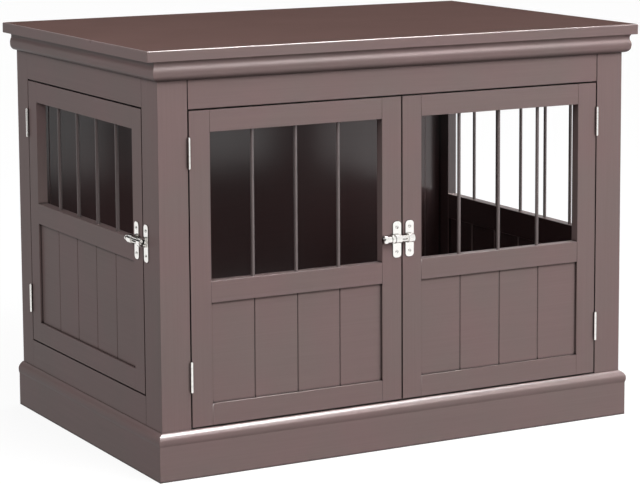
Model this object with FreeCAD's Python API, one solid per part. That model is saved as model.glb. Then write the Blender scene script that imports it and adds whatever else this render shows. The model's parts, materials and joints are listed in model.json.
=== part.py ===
"""Dog crate end table: a panelled wooden cabinet with two front doors and one side door.

Frame of the model: X to the right, Y to the back, Z up, millimetres. The origin is the middle of
the footprint of the whole table, on the floor. Doors, hinges and latches are drawn in a frame of
their own, (u, d, z): u runs along the door from its hinge edge, d is the depth behind the outer
face (negative in front of it) and z is the height above the floor.
"""
import os

import FreeCAD
import Part

# ---------------------------------------------------------------- driving dimensions, mm
# The case
TABLE_HEIGHT = 704.0        # floor to the upper face of the tabletop
BODY_WIDTH = 900.0          # over the outer faces of the posts
BODY_DEPTH = 608.0          # front face to rear face of the posts
BOARD = 18.0                # thickness of posts, rails and door frames
TOP_THICK = 18.0
TOP_SIDE_OVERHANG = 24.0
TOP_FRONT_OVERHANG = 16.0
TOP_REAR_OVERHANG = 6.0
TOP_ROUNDING = 2.0
POST_FRONT_WIDTH = 52.0     # leg of each corner post that faces the front or the rear
POST_SIDE_FRONT = 63.0      # leg of the front posts that faces the side
POST_SIDE_REAR = 50.0       # leg of the rear posts that faces the side
TOP_RAIL_DROP = 80.5        # height of the rails under the tabletop
FRONT_SILL = 80.0           # floor to the upper edge of the front bottom rail
SIDE_SILL = 128.5           # floor to the upper edge of the side bottom rails
RAIL_LIFT = 20.0            # the bottom rails and the back stop this far above the floor
BACK_THICK = 12.0

# Mouldings applied to the outside
CORNICE_HEIGHT = 32.0
CORNICE_LIP = 1.5           # how far the cornice stands out at its lower edge
CORNICE_BELLY = 12.0        # at the belly and again under the tabletop
CORNICE_WAIST = 11.0        # and where the belly turns into the hollow
CORNICE_BELLY_UP = 10.5     # lower edge to the belly
CORNICE_WAIST_UP = 20.5     # lower edge to the turn
OVOLO_BOW = 3.1             # roundness of the three curves, measured off their chords
BELLY_BOW = 0.8
HOLLOW_BOW = 1.7
PLINTH_HEIGHT = 80.0
PLINTH_FACE = 8.5           # thickness of the skirting board
PLINTH_LIP = 0.8            # of its upper edge
PLINTH_SHOULDER = 9.6       # and where the bead turns into the crown
PLINTH_BEAD = 12.0          # height of the bead near its upper edge
PLINTH_CROWN = 9.5          # height of the sloping crown above the bead
BEAD_BOW = 0.9              # roundness of the two curves, measured off their chords
CROWN_BOW = 1.2

# Floor and stops
FLOOR_THICK = 12.0
FLOOR_STEP = 2.0            # the floor lies this much below the front sill
FLOOR_GAP = 0.5
CLEAT = 20.0
STOP_THICK = 12.0
STOP_LAP = 12.0             # how far a stop reaches behind its door
STOP_SEAT = 24.0            # how far it lies on the rail or post that carries it
STOP_CLEARANCE = 0.4        # between a stop and the closed door

# Doors
DOOR_GAP = 2.6
STILE = 37.0
RAIL = 36.0
FRONT_MID_RAIL_TOP = 322.2  # floor to the window sill of the front doors
SIDE_MID_RAIL_TOP = 384.3   # and of the side door
FRONT_BARS = 3
SIDE_BARS = 4
PANEL_THICK = 9.0
GROOVE_DEPTH = 6.0
PANEL_FLOAT = 0.5           # room left for the panel at the bottom of its groove
JOINT_CLEARANCE = 0.1
TENON_LENGTH = 6.0
TENON_INSET = 6.5
VEE_WIDTH = 3.0             # the vertical grooves between the planks of a panel
VEE_DEPTH = 1.6

# Fixed window in the right side
RIGHT_SILL = 326.0
RIGHT_SILL_RAIL = 48.0
RIGHT_BARS = 5

# Bars
BAR_RADIUS = 3.0
BAR_SEAT = 8.0              # depth of each bar end in its rail
BAR_CLEARANCE = 0.05

# Butt hinges
HINGE_HEIGHT = 50.0
LEAF_DEPTH = 16.0
LEAF_THICK = 1.0
KNUCKLE_RADIUS = 2.3
KNUCKLES = 5
KNUCKLE_GAP = 0.15
HINGE_CLEARANCE = 0.3       # between the barrel and the face of the wood
HINGE_PIN_RADIUS = 1.1
HINGE_PIN_CLEARANCE = 0.06
HINGE_PIN_HEAD_RADIUS = 1.9
HINGE_PIN_HEAD = 0.8
FRONT_HINGE_DOWN = 68.0     # top edge of a front door to the middle of its upper hinge
FRONT_HINGE_UP = 84.5       # bottom edge of a front door to the middle of its lower hinge
SIDE_HINGE_IN = 76.0        # the same at both ends of the side door
HINGE_SCREW_SPREAD = 30.0
HINGE_SCREW_DEPTH = 9.5     # outer face to the screws in a leaf

# Barrel bolt latches
PLATE_WIDTH = 16.0
PLATE_HEIGHT = 62.0
PLATE_THICK = 1.8
PLATE_CORNER = 6.0
PLATE_SCREW_SPREAD = 42.0
BOLT_RADIUS = 5.5
BOLT_CLEARANCE = 0.08       # in the barrel that guides it
KEEPER_CLEARANCE = 0.6      # in the loop that it shoots into
BARREL_WALL = 1.7
LOOP_WALL = 1.5
BARREL_TAIL = 7.0           # length of barrel beyond the plate
AXIS_OUT = 8.2              # outer face of the door to the axis of the bolt
AXIS_RISE = 2.0             # middle of the plate to the axis of the bolt
BOLT_SHORT = 0.4            # the resting bolt stops this short of the keeper
BOLT_THROW = 8.0            # travel from there into the keeper
KNOB_RADIUS = 7.4
KNOB_LENGTH = 8.0
KNOB_CLEARANCE = 0.5        # knob to barrel with the bolt fully shot
BOLT_CHAMFER = 1.0
FRONT_LATCH_Z = 360.0
FRONT_HOUSING_SET = 10.6    # middle of the gap to the middle of the housing plate
FRONT_KEEPER_SET = 14.0     # and to the middle of the keeper plate
SIDE_LATCH_Z = 385.0
SIDE_HOUSING_SET = 22.0
SIDE_KEEPER_SET = 15.0

# Screws
SCREW_RADIUS = 1.4
SCREW_CLEARANCE = 0.05
SCREW_LENGTH = 14.0
SCREW_POINT = 3.0
SCREW_TIP_RADIUS = 0.35
SUNK_HEAD_RADIUS = 2.4
PAN_HEAD_RADIUS = 3.0
PAN_HEAD = 1.8
CROSS_HALF = 1.8            # half the length of the cross recess
CROSS_WIDTH = 0.7
CROSS_DEPTH = 0.9
PLATE_HOLE_CLEARANCE = 0.1  # around the screws of a latch plate

# ---------------------------------------------------------------- places worked out from them
HALF_WIDTH = BODY_WIDTH / 2
TOP_DEPTH = BODY_DEPTH + TOP_FRONT_OVERHANG + TOP_REAR_OVERHANG
FRONT_Y = TOP_FRONT_OVERHANG - TOP_DEPTH / 2
REAR_Y = FRONT_Y + BODY_DEPTH
CASE_TOP = TABLE_HEIGHT - TOP_THICK
OPENING_HALF = HALF_WIDTH - POST_FRONT_WIDTH
OPENING_TOP = CASE_TOP - TOP_RAIL_DROP
INNER_HALF = HALF_WIDTH - BOARD
INNER_FRONT = FRONT_Y + BOARD
INNER_REAR = REAR_Y - BOARD
SIDE_OPEN_FRONT = FRONT_Y + POST_SIDE_FRONT
SIDE_OPEN_REAR = REAR_Y - POST_SIDE_REAR
FLOOR_TOP = FRONT_SILL - FLOOR_STEP
DOOR_TOP = OPENING_TOP - DOOR_GAP
FRONT_DOOR_WIDTH = OPENING_HALF - 1.5 * DOOR_GAP
SIDE_DOOR_WIDTH = SIDE_OPEN_REAR - SIDE_OPEN_FRONT - 2 * DOOR_GAP
PANEL_FACE = (BOARD - PANEL_THICK) / 2
PANEL_TONGUE = GROOVE_DEPTH - PANEL_FLOAT
HINGE_PROUD = KNUCKLE_RADIUS + HINGE_CLEARANCE
HINGE_U = -DOOR_GAP / 2


def vec(x, y, z):
    return FreeCAD.Vector(x, y, z)


UP = vec(0, 0, 1)
ORIGIN = vec(0, 0, 0)


# ---------------------------------------------------------------- small helpers
def box(x0, x1, y0, y1, z0, z1):
    return Part.makeBox(x1 - x0, y1 - y0, z1 - z0, vec(x0, y0, z0))


def rod(radius, start, end):
    return Part.makeCylinder(radius, (end - start).Length, start, end - start)


def cone(radius_start, radius_end, start, end):
    return Part.makeCone(radius_start, radius_end, (end - start).Length, start, end - start)


def fused(solids):
    whole = solids[0]
    for solid in solids[1:]:
        whole = whole.fuse(solid)
    return whole.removeSplitter()


def cut_all(solid, tools):
    for tool in tools:
        solid = solid.cut(tool)
    return solid


def group(solids):
    return Part.makeCompound(solids)


def put(shape, place):
    """Moves a shape from a door's own frame to the table's frame."""
    moved = shape.copy()
    if place["mirrored"]:
        moved = moved.mirror(ORIGIN, vec(1, 0, 0))
    moved.rotate(ORIGIN, UP, place["turn"])
    moved.translate(place["origin"])
    return moved


LEFT_PLACE = {"origin": vec(-OPENING_HALF + DOOR_GAP, FRONT_Y, 0), "turn": 0, "mirrored": False}
RIGHT_PLACE = {"origin": vec(OPENING_HALF - DOOR_GAP, FRONT_Y, 0), "turn": 0, "mirrored": True}
SIDE_PLACE = {"origin": vec(-HALF_WIDTH, SIDE_OPEN_REAR - DOOR_GAP, 0), "turn": -90,
              "mirrored": False}


# ---------------------------------------------------------------- screws
def screw_shank(at, direction):
    """Shank and point of a wood screw whose head bears at `at`."""
    waist = at + direction * (SCREW_LENGTH - SCREW_POINT)
    tip = at + direction * SCREW_LENGTH
    return [rod(SCREW_RADIUS, at, waist), cone(SCREW_RADIUS, SCREW_TIP_RADIUS, waist, tip)]


def sunk_screw(at, direction):
    """Countersunk screw; `at` is the middle of its flat head."""
    head = cone(SUNK_HEAD_RADIUS, SCREW_RADIUS, at, at + direction * LEAF_THICK)
    return fused([head] + screw_shank(at, direction))


def sunk_hole(at, direction):
    """Countersunk hole in a hinge leaf for that screw."""
    wide = SUNK_HEAD_RADIUS + SCREW_CLEARANCE
    narrow = SCREW_RADIUS + SCREW_CLEARANCE
    return cone(wide, narrow, at, at + direction * LEAF_THICK)


def pan_screw(at, direction):
    """Dome-headed screw with a cross recess; `at` is where its head bears."""
    sphere_radius = (PAN_HEAD_RADIUS ** 2 + PAN_HEAD ** 2) / (2 * PAN_HEAD)
    crown = at - direction * PAN_HEAD
    ball = Part.makeSphere(sphere_radius, crown + direction * sphere_radius)
    dome = ball.common(rod(PAN_HEAD_RADIUS, at, at - direction * PAN_HEAD))
    whole = fused([dome] + screw_shank(at, direction))
    recess = []
    for half_u, half_z in ((CROSS_HALF, CROSS_WIDTH / 2), (CROSS_WIDTH / 2, CROSS_HALF)):
        recess.append(box(at.x - half_u, at.x + half_u, crown.y, crown.y + CROSS_DEPTH,
                          at.z - half_z, at.z + half_z))
    return cut_all(whole, recess)


def pilot_hole(at, direction):
    """Hole in the wood for the whole length of a screw."""
    return rod(SCREW_RADIUS + SCREW_CLEARANCE, at, at + direction * SCREW_LENGTH)


# ---------------------------------------------------------------- mouldings
def section_point(out, height):
    """Point of a moulding's section, `out` from the case's face."""
    return vec(0, -out, height)


def bowed(start, end, bow):
    """Arc up a section, bowed outwards in the middle; a negative bow makes it hollow."""
    along = end - start
    outward = vec(0, -along.z, along.y).normalize()
    return Part.Arc(start, (start + end) / 2 + outward * bow, end).toShape()


def cornice_profile():
    """Section of the moulding under the tabletop: ovolo, belly and hollow."""
    low = CASE_TOP - CORNICE_HEIGHT
    lip = section_point(CORNICE_LIP, low)
    belly = section_point(CORNICE_BELLY, low + CORNICE_BELLY_UP)
    waist = section_point(CORNICE_WAIST, low + CORNICE_WAIST_UP)
    top = section_point(CORNICE_BELLY, CASE_TOP)
    back_top = section_point(0, CASE_TOP)
    back_low = section_point(0, low)
    edges = [bowed(lip, belly, OVOLO_BOW), bowed(belly, waist, BELLY_BOW),
             bowed(waist, top, -HOLLOW_BOW), Part.makeLine(top, back_top),
             Part.makeLine(back_top, back_low), Part.makeLine(back_low, lip)]
    return Part.Face(Part.Wire(edges))


def plinth_profile():
    """Section of the skirting board with its beaded upper edge."""
    base = section_point(PLINTH_FACE, 0)
    bead_low = section_point(PLINTH_FACE, PLINTH_HEIGHT - PLINTH_CROWN - PLINTH_BEAD)
    bead_high = section_point(PLINTH_SHOULDER, PLINTH_HEIGHT - PLINTH_CROWN)
    lip = section_point(PLINTH_LIP, PLINTH_HEIGHT)
    back_top = section_point(0, PLINTH_HEIGHT)
    edges = [Part.makeLine(base, bead_low), bowed(bead_low, bead_high, BEAD_BOW),
             bowed(bead_high, lip, CROWN_BOW), Part.makeLine(lip, back_top),
             Part.makeLine(back_top, ORIGIN), Part.makeLine(ORIGIN, base)]
    return Part.Face(Part.Wire(edges))


def plan_prism(corners, height):
    """Upright prism over a plan outline, as tall as the table."""
    points = [vec(x, y, 0) for x, y in corners]
    return Part.Face(Part.makePolygon(points + points[:1])).extrude(UP * height)


def moulding(name, profile, reach):
    """One moulding run on the front and both sides, mitred at the front corners."""
    front = profile.extrude(vec(BODY_WIDTH + 2 * reach, 0, 0))
    front.translate(vec(-HALF_WIDTH - reach, FRONT_Y, 0))
    plan = [(-HALF_WIDTH, FRONT_Y), (HALF_WIDTH, FRONT_Y), (HALF_WIDTH + reach, FRONT_Y - reach),
            (-HALF_WIDTH - reach, FRONT_Y - reach)]
    front = front.common(plan_prism(plan, TABLE_HEIGHT))

    left = profile.extrude(vec(BODY_DEPTH + reach, 0, 0))
    left.rotate(ORIGIN, UP, -90)
    left.translate(vec(-HALF_WIDTH, REAR_Y, 0))
    plan = [(-HALF_WIDTH, FRONT_Y), (-HALF_WIDTH - reach, FRONT_Y - reach),
            (-HALF_WIDTH - reach, REAR_Y), (-HALF_WIDTH, REAR_Y)]
    left = left.common(plan_prism(plan, TABLE_HEIGHT))
    right = left.mirror(ORIGIN, vec(1, 0, 0))
    return {name + "_front": front, name + "_left": left, name + "_right": right}


# ---------------------------------------------------------------- the case
def tabletop():
    half = HALF_WIDTH + TOP_SIDE_OVERHANG
    slab = box(-half, half, -TOP_DEPTH / 2, TOP_DEPTH / 2, CASE_TOP, TABLE_HEIGHT)
    eased = [edge for edge in slab.Edges if edge.BoundBox.ZMax > TABLE_HEIGHT - TOP_THICK / 2]
    return slab.makeFillet(TOP_ROUNDING, eased)


def tenon_box(x0, x1, y0, y1, z0, z1, along, slack):
    """Tenon (or, with slack, its mortise) of a rail that runs along X or along Y."""
    shrink = PANEL_FACE - slack
    if along == "x":
        return box(x0 - TENON_LENGTH - slack, x1 + TENON_LENGTH + slack, y0 + shrink, y1 - shrink,
                   z0 + TENON_INSET - slack, z1 - TENON_INSET + slack)
    return box(x0 + shrink, x1 - shrink, y0 - TENON_LENGTH - slack, y1 + TENON_LENGTH + slack,
               z0 + TENON_INSET - slack, z1 - TENON_INSET + slack)


def case_rail_spans():
    """The rails between the posts: name, (x0, x1, y0, y1, z0, z1), direction."""
    front = (-OPENING_HALF, OPENING_HALF, FRONT_Y, INNER_FRONT)
    left = (-HALF_WIDTH, -INNER_HALF, SIDE_OPEN_FRONT, SIDE_OPEN_REAR)
    right = (INNER_HALF, HALF_WIDTH, SIDE_OPEN_FRONT, SIDE_OPEN_REAR)
    top = (OPENING_TOP, CASE_TOP)
    side_bottom = (RAIL_LIFT, SIDE_SILL)
    return [("front_top_rail", front + top, "x"),
            ("front_bottom_rail", front + (RAIL_LIFT, FRONT_SILL), "x"),
            ("left_top_rail", left + top, "y"),
            ("left_bottom_rail", left + side_bottom, "y"),
            ("right_top_rail", right + top, "y"),
            ("right_sill_rail", right + (RIGHT_SILL - RIGHT_SILL_RAIL, RIGHT_SILL), "y"),
            ("right_bottom_rail", right + side_bottom, "y")]


def right_bar_places():
    pitch = (SIDE_OPEN_REAR - SIDE_OPEN_FRONT) / (RIGHT_BARS + 1)
    return [SIDE_OPEN_FRONT + pitch * (i + 1) for i in range(RIGHT_BARS)]


def right_panel_space(tongue, slack):
    """Space of the lower right panel, or of the groove that holds it."""
    return box(INNER_HALF + PANEL_FACE - slack, HALF_WIDTH - PANEL_FACE + slack,
               SIDE_OPEN_FRONT - tongue, SIDE_OPEN_REAR + tongue,
               SIDE_SILL - tongue, RIGHT_SILL - RIGHT_SILL_RAIL + tongue)


def right_bar(y, radius, seat):
    middle = HALF_WIDTH - BOARD / 2
    return rod(radius, vec(middle, y, RIGHT_SILL - seat), vec(middle, y, OPENING_TOP + seat))


def case_rails():
    rails = {}
    for name, span, along in case_rail_spans():
        rails[name] = fused([box(*span), tenon_box(*span, along, 0.0)])
    holes = [right_bar(y, BAR_RADIUS + BAR_CLEARANCE, BAR_SEAT) for y in right_bar_places()]
    for name in ("right_top_rail", "right_sill_rail"):
        rails[name] = cut_all(rails[name], holes)
    for name in ("right_sill_rail", "right_bottom_rail"):
        rails[name] = rails[name].cut(right_panel_space(GROOVE_DEPTH, JOINT_CLEARANCE))
    return rails


def posts():
    """L-section corner posts, mortised for the rails that meet them."""
    mortises = [tenon_box(*span, along, JOINT_CLEARANCE)
                for _, span, along in case_rail_spans()]
    made = {}
    for side_name, side in (("left", -1), ("right", 1)):
        for end_name, wide in (("front", POST_SIDE_FRONT), ("rear", POST_SIDE_REAR)):
            outer, inner, edge = side * HALF_WIDTH, side * INNER_HALF, side * OPENING_HALF
            if end_name == "front":
                legs = [(FRONT_Y, INNER_FRONT), (FRONT_Y, FRONT_Y + wide)]
            else:
                legs = [(INNER_REAR, REAR_Y), (REAR_Y - wide, REAR_Y)]
            face_leg = box(min(outer, edge), max(outer, edge), *legs[0], 0, CASE_TOP)
            side_leg = box(min(outer, inner), max(outer, inner), *legs[1], 0, CASE_TOP)
            post = cut_all(fused([face_leg, side_leg]), mortises)
            if side_name == "right":
                post = post.cut(right_panel_space(GROOVE_DEPTH, JOINT_CLEARANCE))
            made[end_name + "_" + side_name + "_post"] = post
    return made


def right_lower_panel():
    panel = right_panel_space(PANEL_TONGUE, 0.0)
    vees = []
    for y in right_bar_places():
        for face, inward in ((HALF_WIDTH - PANEL_FACE, -1), (INNER_HALF + PANEL_FACE, 1)):
            corners = [(face, y - VEE_WIDTH / 2), (face, y + VEE_WIDTH / 2),
                       (face + inward * VEE_DEPTH, y)]
            vees.append(plan_prism(corners, TABLE_HEIGHT))
    return cut_all(panel, vees)


def back_panel():
    return box(-OPENING_HALF, OPENING_HALF, INNER_REAR, INNER_REAR + BACK_THICK, RAIL_LIFT, CASE_TOP)


def floor_panel():
    return box(-INNER_HALF + FLOOR_GAP, INNER_HALF - FLOOR_GAP, INNER_FRONT + FLOOR_GAP,
               INNER_REAR - FLOOR_GAP, FLOOR_TOP - FLOOR_THICK, FLOOR_TOP)


def floor_cleats():
    top = FLOOR_TOP - FLOOR_THICK
    low = top - CLEAT
    cleats = [box(-INNER_HALF, INNER_HALF, INNER_FRONT, INNER_FRONT + CLEAT, low, top),
              box(-INNER_HALF, INNER_HALF, INNER_REAR - CLEAT, INNER_REAR, low, top)]
    for x0, x1 in ((-INNER_HALF, -INNER_HALF + CLEAT), (INNER_HALF - CLEAT, INNER_HALF)):
        cleats.append(box(x0, x1, INNER_FRONT + CLEAT, INNER_REAR - CLEAT, low, top))
    return group(cleats)


def door_stops():
    """Strips that the closed doors rest against: one over the front pair, one at the side."""
    low, high = OPENING_TOP - STOP_LAP, OPENING_TOP + STOP_SEAT
    front = box(-OPENING_HALF, OPENING_HALF, INNER_FRONT, INNER_FRONT + STOP_THICK, low, high)
    front = front.cut(box(-OPENING_HALF, OPENING_HALF, INNER_FRONT, INNER_FRONT + STOP_CLEARANCE,
                          low, OPENING_TOP))
    near, far = SIDE_OPEN_FRONT - STOP_SEAT, SIDE_OPEN_FRONT + STOP_LAP
    side = box(-INNER_HALF, -INNER_HALF + STOP_THICK, near, far, SIDE_SILL, OPENING_TOP)
    side = side.cut(box(-INNER_HALF, -INNER_HALF + STOP_CLEARANCE, SIDE_OPEN_FRONT, far,
                        SIDE_SILL, OPENING_TOP))
    return group([front, side])


# ---------------------------------------------------------------- doors, in their own frame
FRONT_DOOR = {"width": FRONT_DOOR_WIDTH, "low": FRONT_SILL + DOOR_GAP, "high": DOOR_TOP,
              "sill": FRONT_MID_RAIL_TOP, "bars": FRONT_BARS,
              "hinges": (FRONT_SILL + DOOR_GAP + FRONT_HINGE_UP, DOOR_TOP - FRONT_HINGE_DOWN)}
SIDE_DOOR = {"width": SIDE_DOOR_WIDTH, "low": SIDE_SILL + DOOR_GAP, "high": DOOR_TOP,
             "sill": SIDE_MID_RAIL_TOP, "bars": SIDE_BARS,
             "hinges": (SIDE_SILL + DOOR_GAP + SIDE_HINGE_IN, DOOR_TOP - SIDE_HINGE_IN)}


def door_rail_spans(door):
    """Name and (u0, u1, d0, d1, z0, z1) of the three rails of a door."""
    across = (STILE, door["width"] - STILE, 0, BOARD)
    return [("top_rail", across + (door["high"] - RAIL, door["high"])),
            ("mid_rail", across + (door["sill"] - RAIL, door["sill"])),
            ("bottom_rail", across + (door["low"], door["low"] + RAIL))]


def bar_places(door):
    pitch = (door["width"] - 2 * STILE) / (door["bars"] + 1)
    return [STILE + pitch * (i + 1) for i in range(door["bars"])]


def door_bar(door, u, radius, seat):
    return rod(radius, vec(u, BOARD / 2, door["sill"] - seat),
               vec(u, BOARD / 2, door["high"] - RAIL + seat))


def door_panel_space(door, tongue, slack):
    """Space of a door's lower panel, or of the groove that holds it."""
    return box(STILE - tongue, door["width"] - STILE + tongue, PANEL_FACE - slack,
               BOARD - PANEL_FACE + slack, door["low"] + RAIL - tongue,
               door["sill"] - RAIL + tongue)


def door_panel(door):
    """Lower panel with a groove between planks in line with each bar."""
    panel = door_panel_space(door, PANEL_TONGUE, 0.0)
    vees = []
    for u in bar_places(door):
        for face, inward in ((PANEL_FACE, 1), (BOARD - PANEL_FACE, -1)):
            corners = [(u - VEE_WIDTH / 2, face), (u + VEE_WIDTH / 2, face),
                       (u, face + inward * VEE_DEPTH)]
            vees.append(plan_prism(corners, TABLE_HEIGHT))
    return cut_all(panel, vees)


def hinge_screw_places(door):
    """Heights of the hinge screws of a door."""
    return [z + side * HINGE_SCREW_SPREAD / 2 for z in door["hinges"] for side in (-1, 1)]


def plate_screw_places(latch, set_back):
    """Where the two screws of a latch plate enter the wood."""
    return [vec(set_back, 0, latch["z"] + side * PLATE_SCREW_SPREAD / 2) for side in (-1, 1)]


def door_pieces(door):
    """The seven wooden and steel pieces of one door, before they are put in place."""
    groove = door_panel_space(door, GROOVE_DEPTH, JOINT_CLEARANCE)
    bar_holes = [door_bar(door, u, BAR_RADIUS + BAR_CLEARANCE, BAR_SEAT)
                 for u in bar_places(door)]
    mortises = [tenon_box(*span, "x", JOINT_CLEARANCE) for _, span in door_rail_spans(door)]
    pieces = {}
    for name, span in door_rail_spans(door):
        rail = fused([box(*span), tenon_box(*span, "x", 0.0)])
        pieces[name] = cut_all(rail, bar_holes + [groove])
    for name, u0 in (("hinge_stile", 0.0), ("latch_stile", door["width"] - STILE)):
        stile = box(u0, u0 + STILE, 0, BOARD, door["low"], door["high"])
        pieces[name] = cut_all(stile, mortises + [groove])
    pilots = [pilot_hole(vec(-LEAF_THICK, HINGE_SCREW_DEPTH, z), vec(1, 0, 0))
              for z in hinge_screw_places(door)]
    pieces["hinge_stile"] = cut_all(pieces["hinge_stile"], pilots)
    pieces["panel"] = door_panel(door)
    pieces["bars"] = group([door_bar(door, u, BAR_RADIUS, BAR_SEAT) for u in bar_places(door)])
    return pieces


# ---------------------------------------------------------------- butt hinges
def hinge_leaf(z, on_door):
    """One leaf with its knuckles, on the door's edge or on the post's edge."""
    if on_door:
        u0, u1, first = -LEAF_THICK, 0.0, 1
    else:
        u0, u1, first = -DOOR_GAP, -DOOR_GAP + LEAF_THICK, 0
    low = z - HINGE_HEIGHT / 2
    step = HINGE_HEIGHT / KNUCKLES
    solids = [box(u0, u1, 0, LEAF_DEPTH, low, low + HINGE_HEIGHT)]
    for i in range(first, KNUCKLES, 2):
        z0 = low + i * step + KNUCKLE_GAP / 2
        z1 = low + (i + 1) * step - KNUCKLE_GAP / 2
        solids.append(box(u0, u1, -HINGE_PROUD, 0, z0, z1))
        solids.append(rod(KNUCKLE_RADIUS, vec(HINGE_U, -HINGE_PROUD, z0),
                          vec(HINGE_U, -HINGE_PROUD, z1)))
    leaf = fused(solids)
    bore = HINGE_PIN_RADIUS + HINGE_PIN_CLEARANCE
    holes = [rod(bore, vec(HINGE_U, -HINGE_PROUD, low), vec(HINGE_U, -HINGE_PROUD, z + HINGE_HEIGHT))]
    for side in (-1, 1):
        height = z + side * HINGE_SCREW_SPREAD / 2
        if on_door:
            holes.append(sunk_hole(vec(u0, HINGE_SCREW_DEPTH, height), vec(1, 0, 0)))
        else:
            holes.append(sunk_hole(vec(u1, HINGE_SCREW_DEPTH, height), vec(-1, 0, 0)))
    return cut_all(leaf, holes)


def hinge_pin(z):
    low = vec(HINGE_U, -HINGE_PROUD, z - HINGE_HEIGHT / 2)
    high = vec(HINGE_U, -HINGE_PROUD, z + HINGE_HEIGHT / 2)
    head = UP * HINGE_PIN_HEAD
    return fused([rod(HINGE_PIN_RADIUS, low, high), rod(HINGE_PIN_HEAD_RADIUS, low - head, low),
                  rod(HINGE_PIN_HEAD_RADIUS, high, high + head)])


def hinge_screws(door, on_door):
    if on_door:
        return [sunk_screw(vec(-LEAF_THICK, HINGE_SCREW_DEPTH, z), vec(1, 0, 0))
                for z in hinge_screw_places(door)]
    return [sunk_screw(vec(-DOOR_GAP + LEAF_THICK, HINGE_SCREW_DEPTH, z), vec(-1, 0, 0))
            for z in hinge_screw_places(door)]


def post_pilot_holes(door):
    return [pilot_hole(vec(-DOOR_GAP + LEAF_THICK, HINGE_SCREW_DEPTH, z), vec(-1, 0, 0))
            for z in hinge_screw_places(door)]


# ---------------------------------------------------------------- barrel bolt latches
# In a latch, u counts from the hinge edge of the door that carries the bolt.
FRONT_LATCH = {"z": FRONT_LATCH_Z, "gap": FRONT_DOOR_WIDTH + DOOR_GAP / 2,
               "housing": FRONT_HOUSING_SET, "keeper": FRONT_KEEPER_SET}
SIDE_LATCH = {"z": SIDE_LATCH_Z, "gap": SIDE_DOOR_WIDTH + DOOR_GAP / 2,
              "housing": SIDE_HOUSING_SET, "keeper": SIDE_KEEPER_SET}


def latch_plate(latch, u):
    """Round-cornered plate on the face of the wood, drilled for two screws."""
    half_w, half_h = PLATE_WIDTH / 2, PLATE_HEIGHT / 2
    plate = box(u - half_w, u + half_w, -PLATE_THICK, 0, latch["z"] - half_h, latch["z"] + half_h)
    corners = [edge for edge in plate.Edges if edge.BoundBox.YLength > PLATE_THICK / 2]
    plate = plate.makeFillet(PLATE_CORNER, corners)
    holes = [rod(SCREW_RADIUS + PLATE_HOLE_CLEARANCE, at - vec(0, PLATE_THICK, 0), at)
             for at in plate_screw_places(latch, u)]
    return cut_all(plate, holes)


def latch_tube(latch, u0, u1, bore, wall, plate_u):
    """Tube for the bolt on its saddle, standing on a plate."""
    z = latch["z"] + AXIS_RISE
    outer = bore + wall
    ends = vec(u0, -AXIS_OUT, z), vec(u1, -AXIS_OUT, z)
    saddle = box(plate_u - PLATE_WIDTH / 2, plate_u + PLATE_WIDTH / 2, -AXIS_OUT, -PLATE_THICK,
                 z - outer, z + outer)
    whole = fused([latch_plate(latch, plate_u), saddle, rod(outer, *ends)])
    return whole.cut(rod(bore, *ends))


def latch_housing(latch):
    plate_u = latch["gap"] - latch["housing"]
    front = plate_u + PLATE_WIDTH / 2
    tail = plate_u - PLATE_WIDTH / 2 - BARREL_TAIL
    return latch_tube(latch, tail, front, BOLT_RADIUS + BOLT_CLEARANCE, BARREL_WALL, plate_u)


def latch_keeper(latch):
    plate_u = latch["gap"] + latch["keeper"]
    reach = PLATE_WIDTH / 2
    return latch_tube(latch, plate_u - reach, plate_u + reach, BOLT_RADIUS + KEEPER_CLEARANCE,
                      LOOP_WALL, plate_u)


def latch_bolt(latch):
    """Round bolt with its pull knob, at rest just short of the keeper."""
    z = latch["z"] + AXIS_RISE
    tip = latch["gap"] + latch["keeper"] - PLATE_WIDTH / 2 - BOLT_SHORT
    barrel_end = latch["gap"] - latch["housing"] - PLATE_WIDTH / 2 - BARREL_TAIL
    knob_front = barrel_end - BOLT_THROW - KNOB_CLEARANCE
    knob_back = knob_front - KNOB_LENGTH

    def on_axis(u):
        return vec(u, -AXIS_OUT, z)

    shaft = rod(BOLT_RADIUS, on_axis(knob_front), on_axis(tip - BOLT_CHAMFER))
    nose = cone(BOLT_RADIUS, BOLT_RADIUS - BOLT_CHAMFER, on_axis(tip - BOLT_CHAMFER), on_axis(tip))
    knob = rod(KNOB_RADIUS, on_axis(knob_back), on_axis(knob_front))
    knob = knob.makeFillet(BOLT_CHAMFER, [edge for edge in knob.Edges if edge.isClosed()])
    return fused([shaft, nose, knob])


def plate_screws(latch, u):
    inward = vec(0, 1, 0)
    return [pan_screw(at - inward * PLATE_THICK, inward) for at in plate_screw_places(latch, u)]


def plate_pilots(latch, u):
    inward = vec(0, 1, 0)
    return [pilot_hole(at - inward * PLATE_THICK, inward) for at in plate_screw_places(latch, u)]


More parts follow.
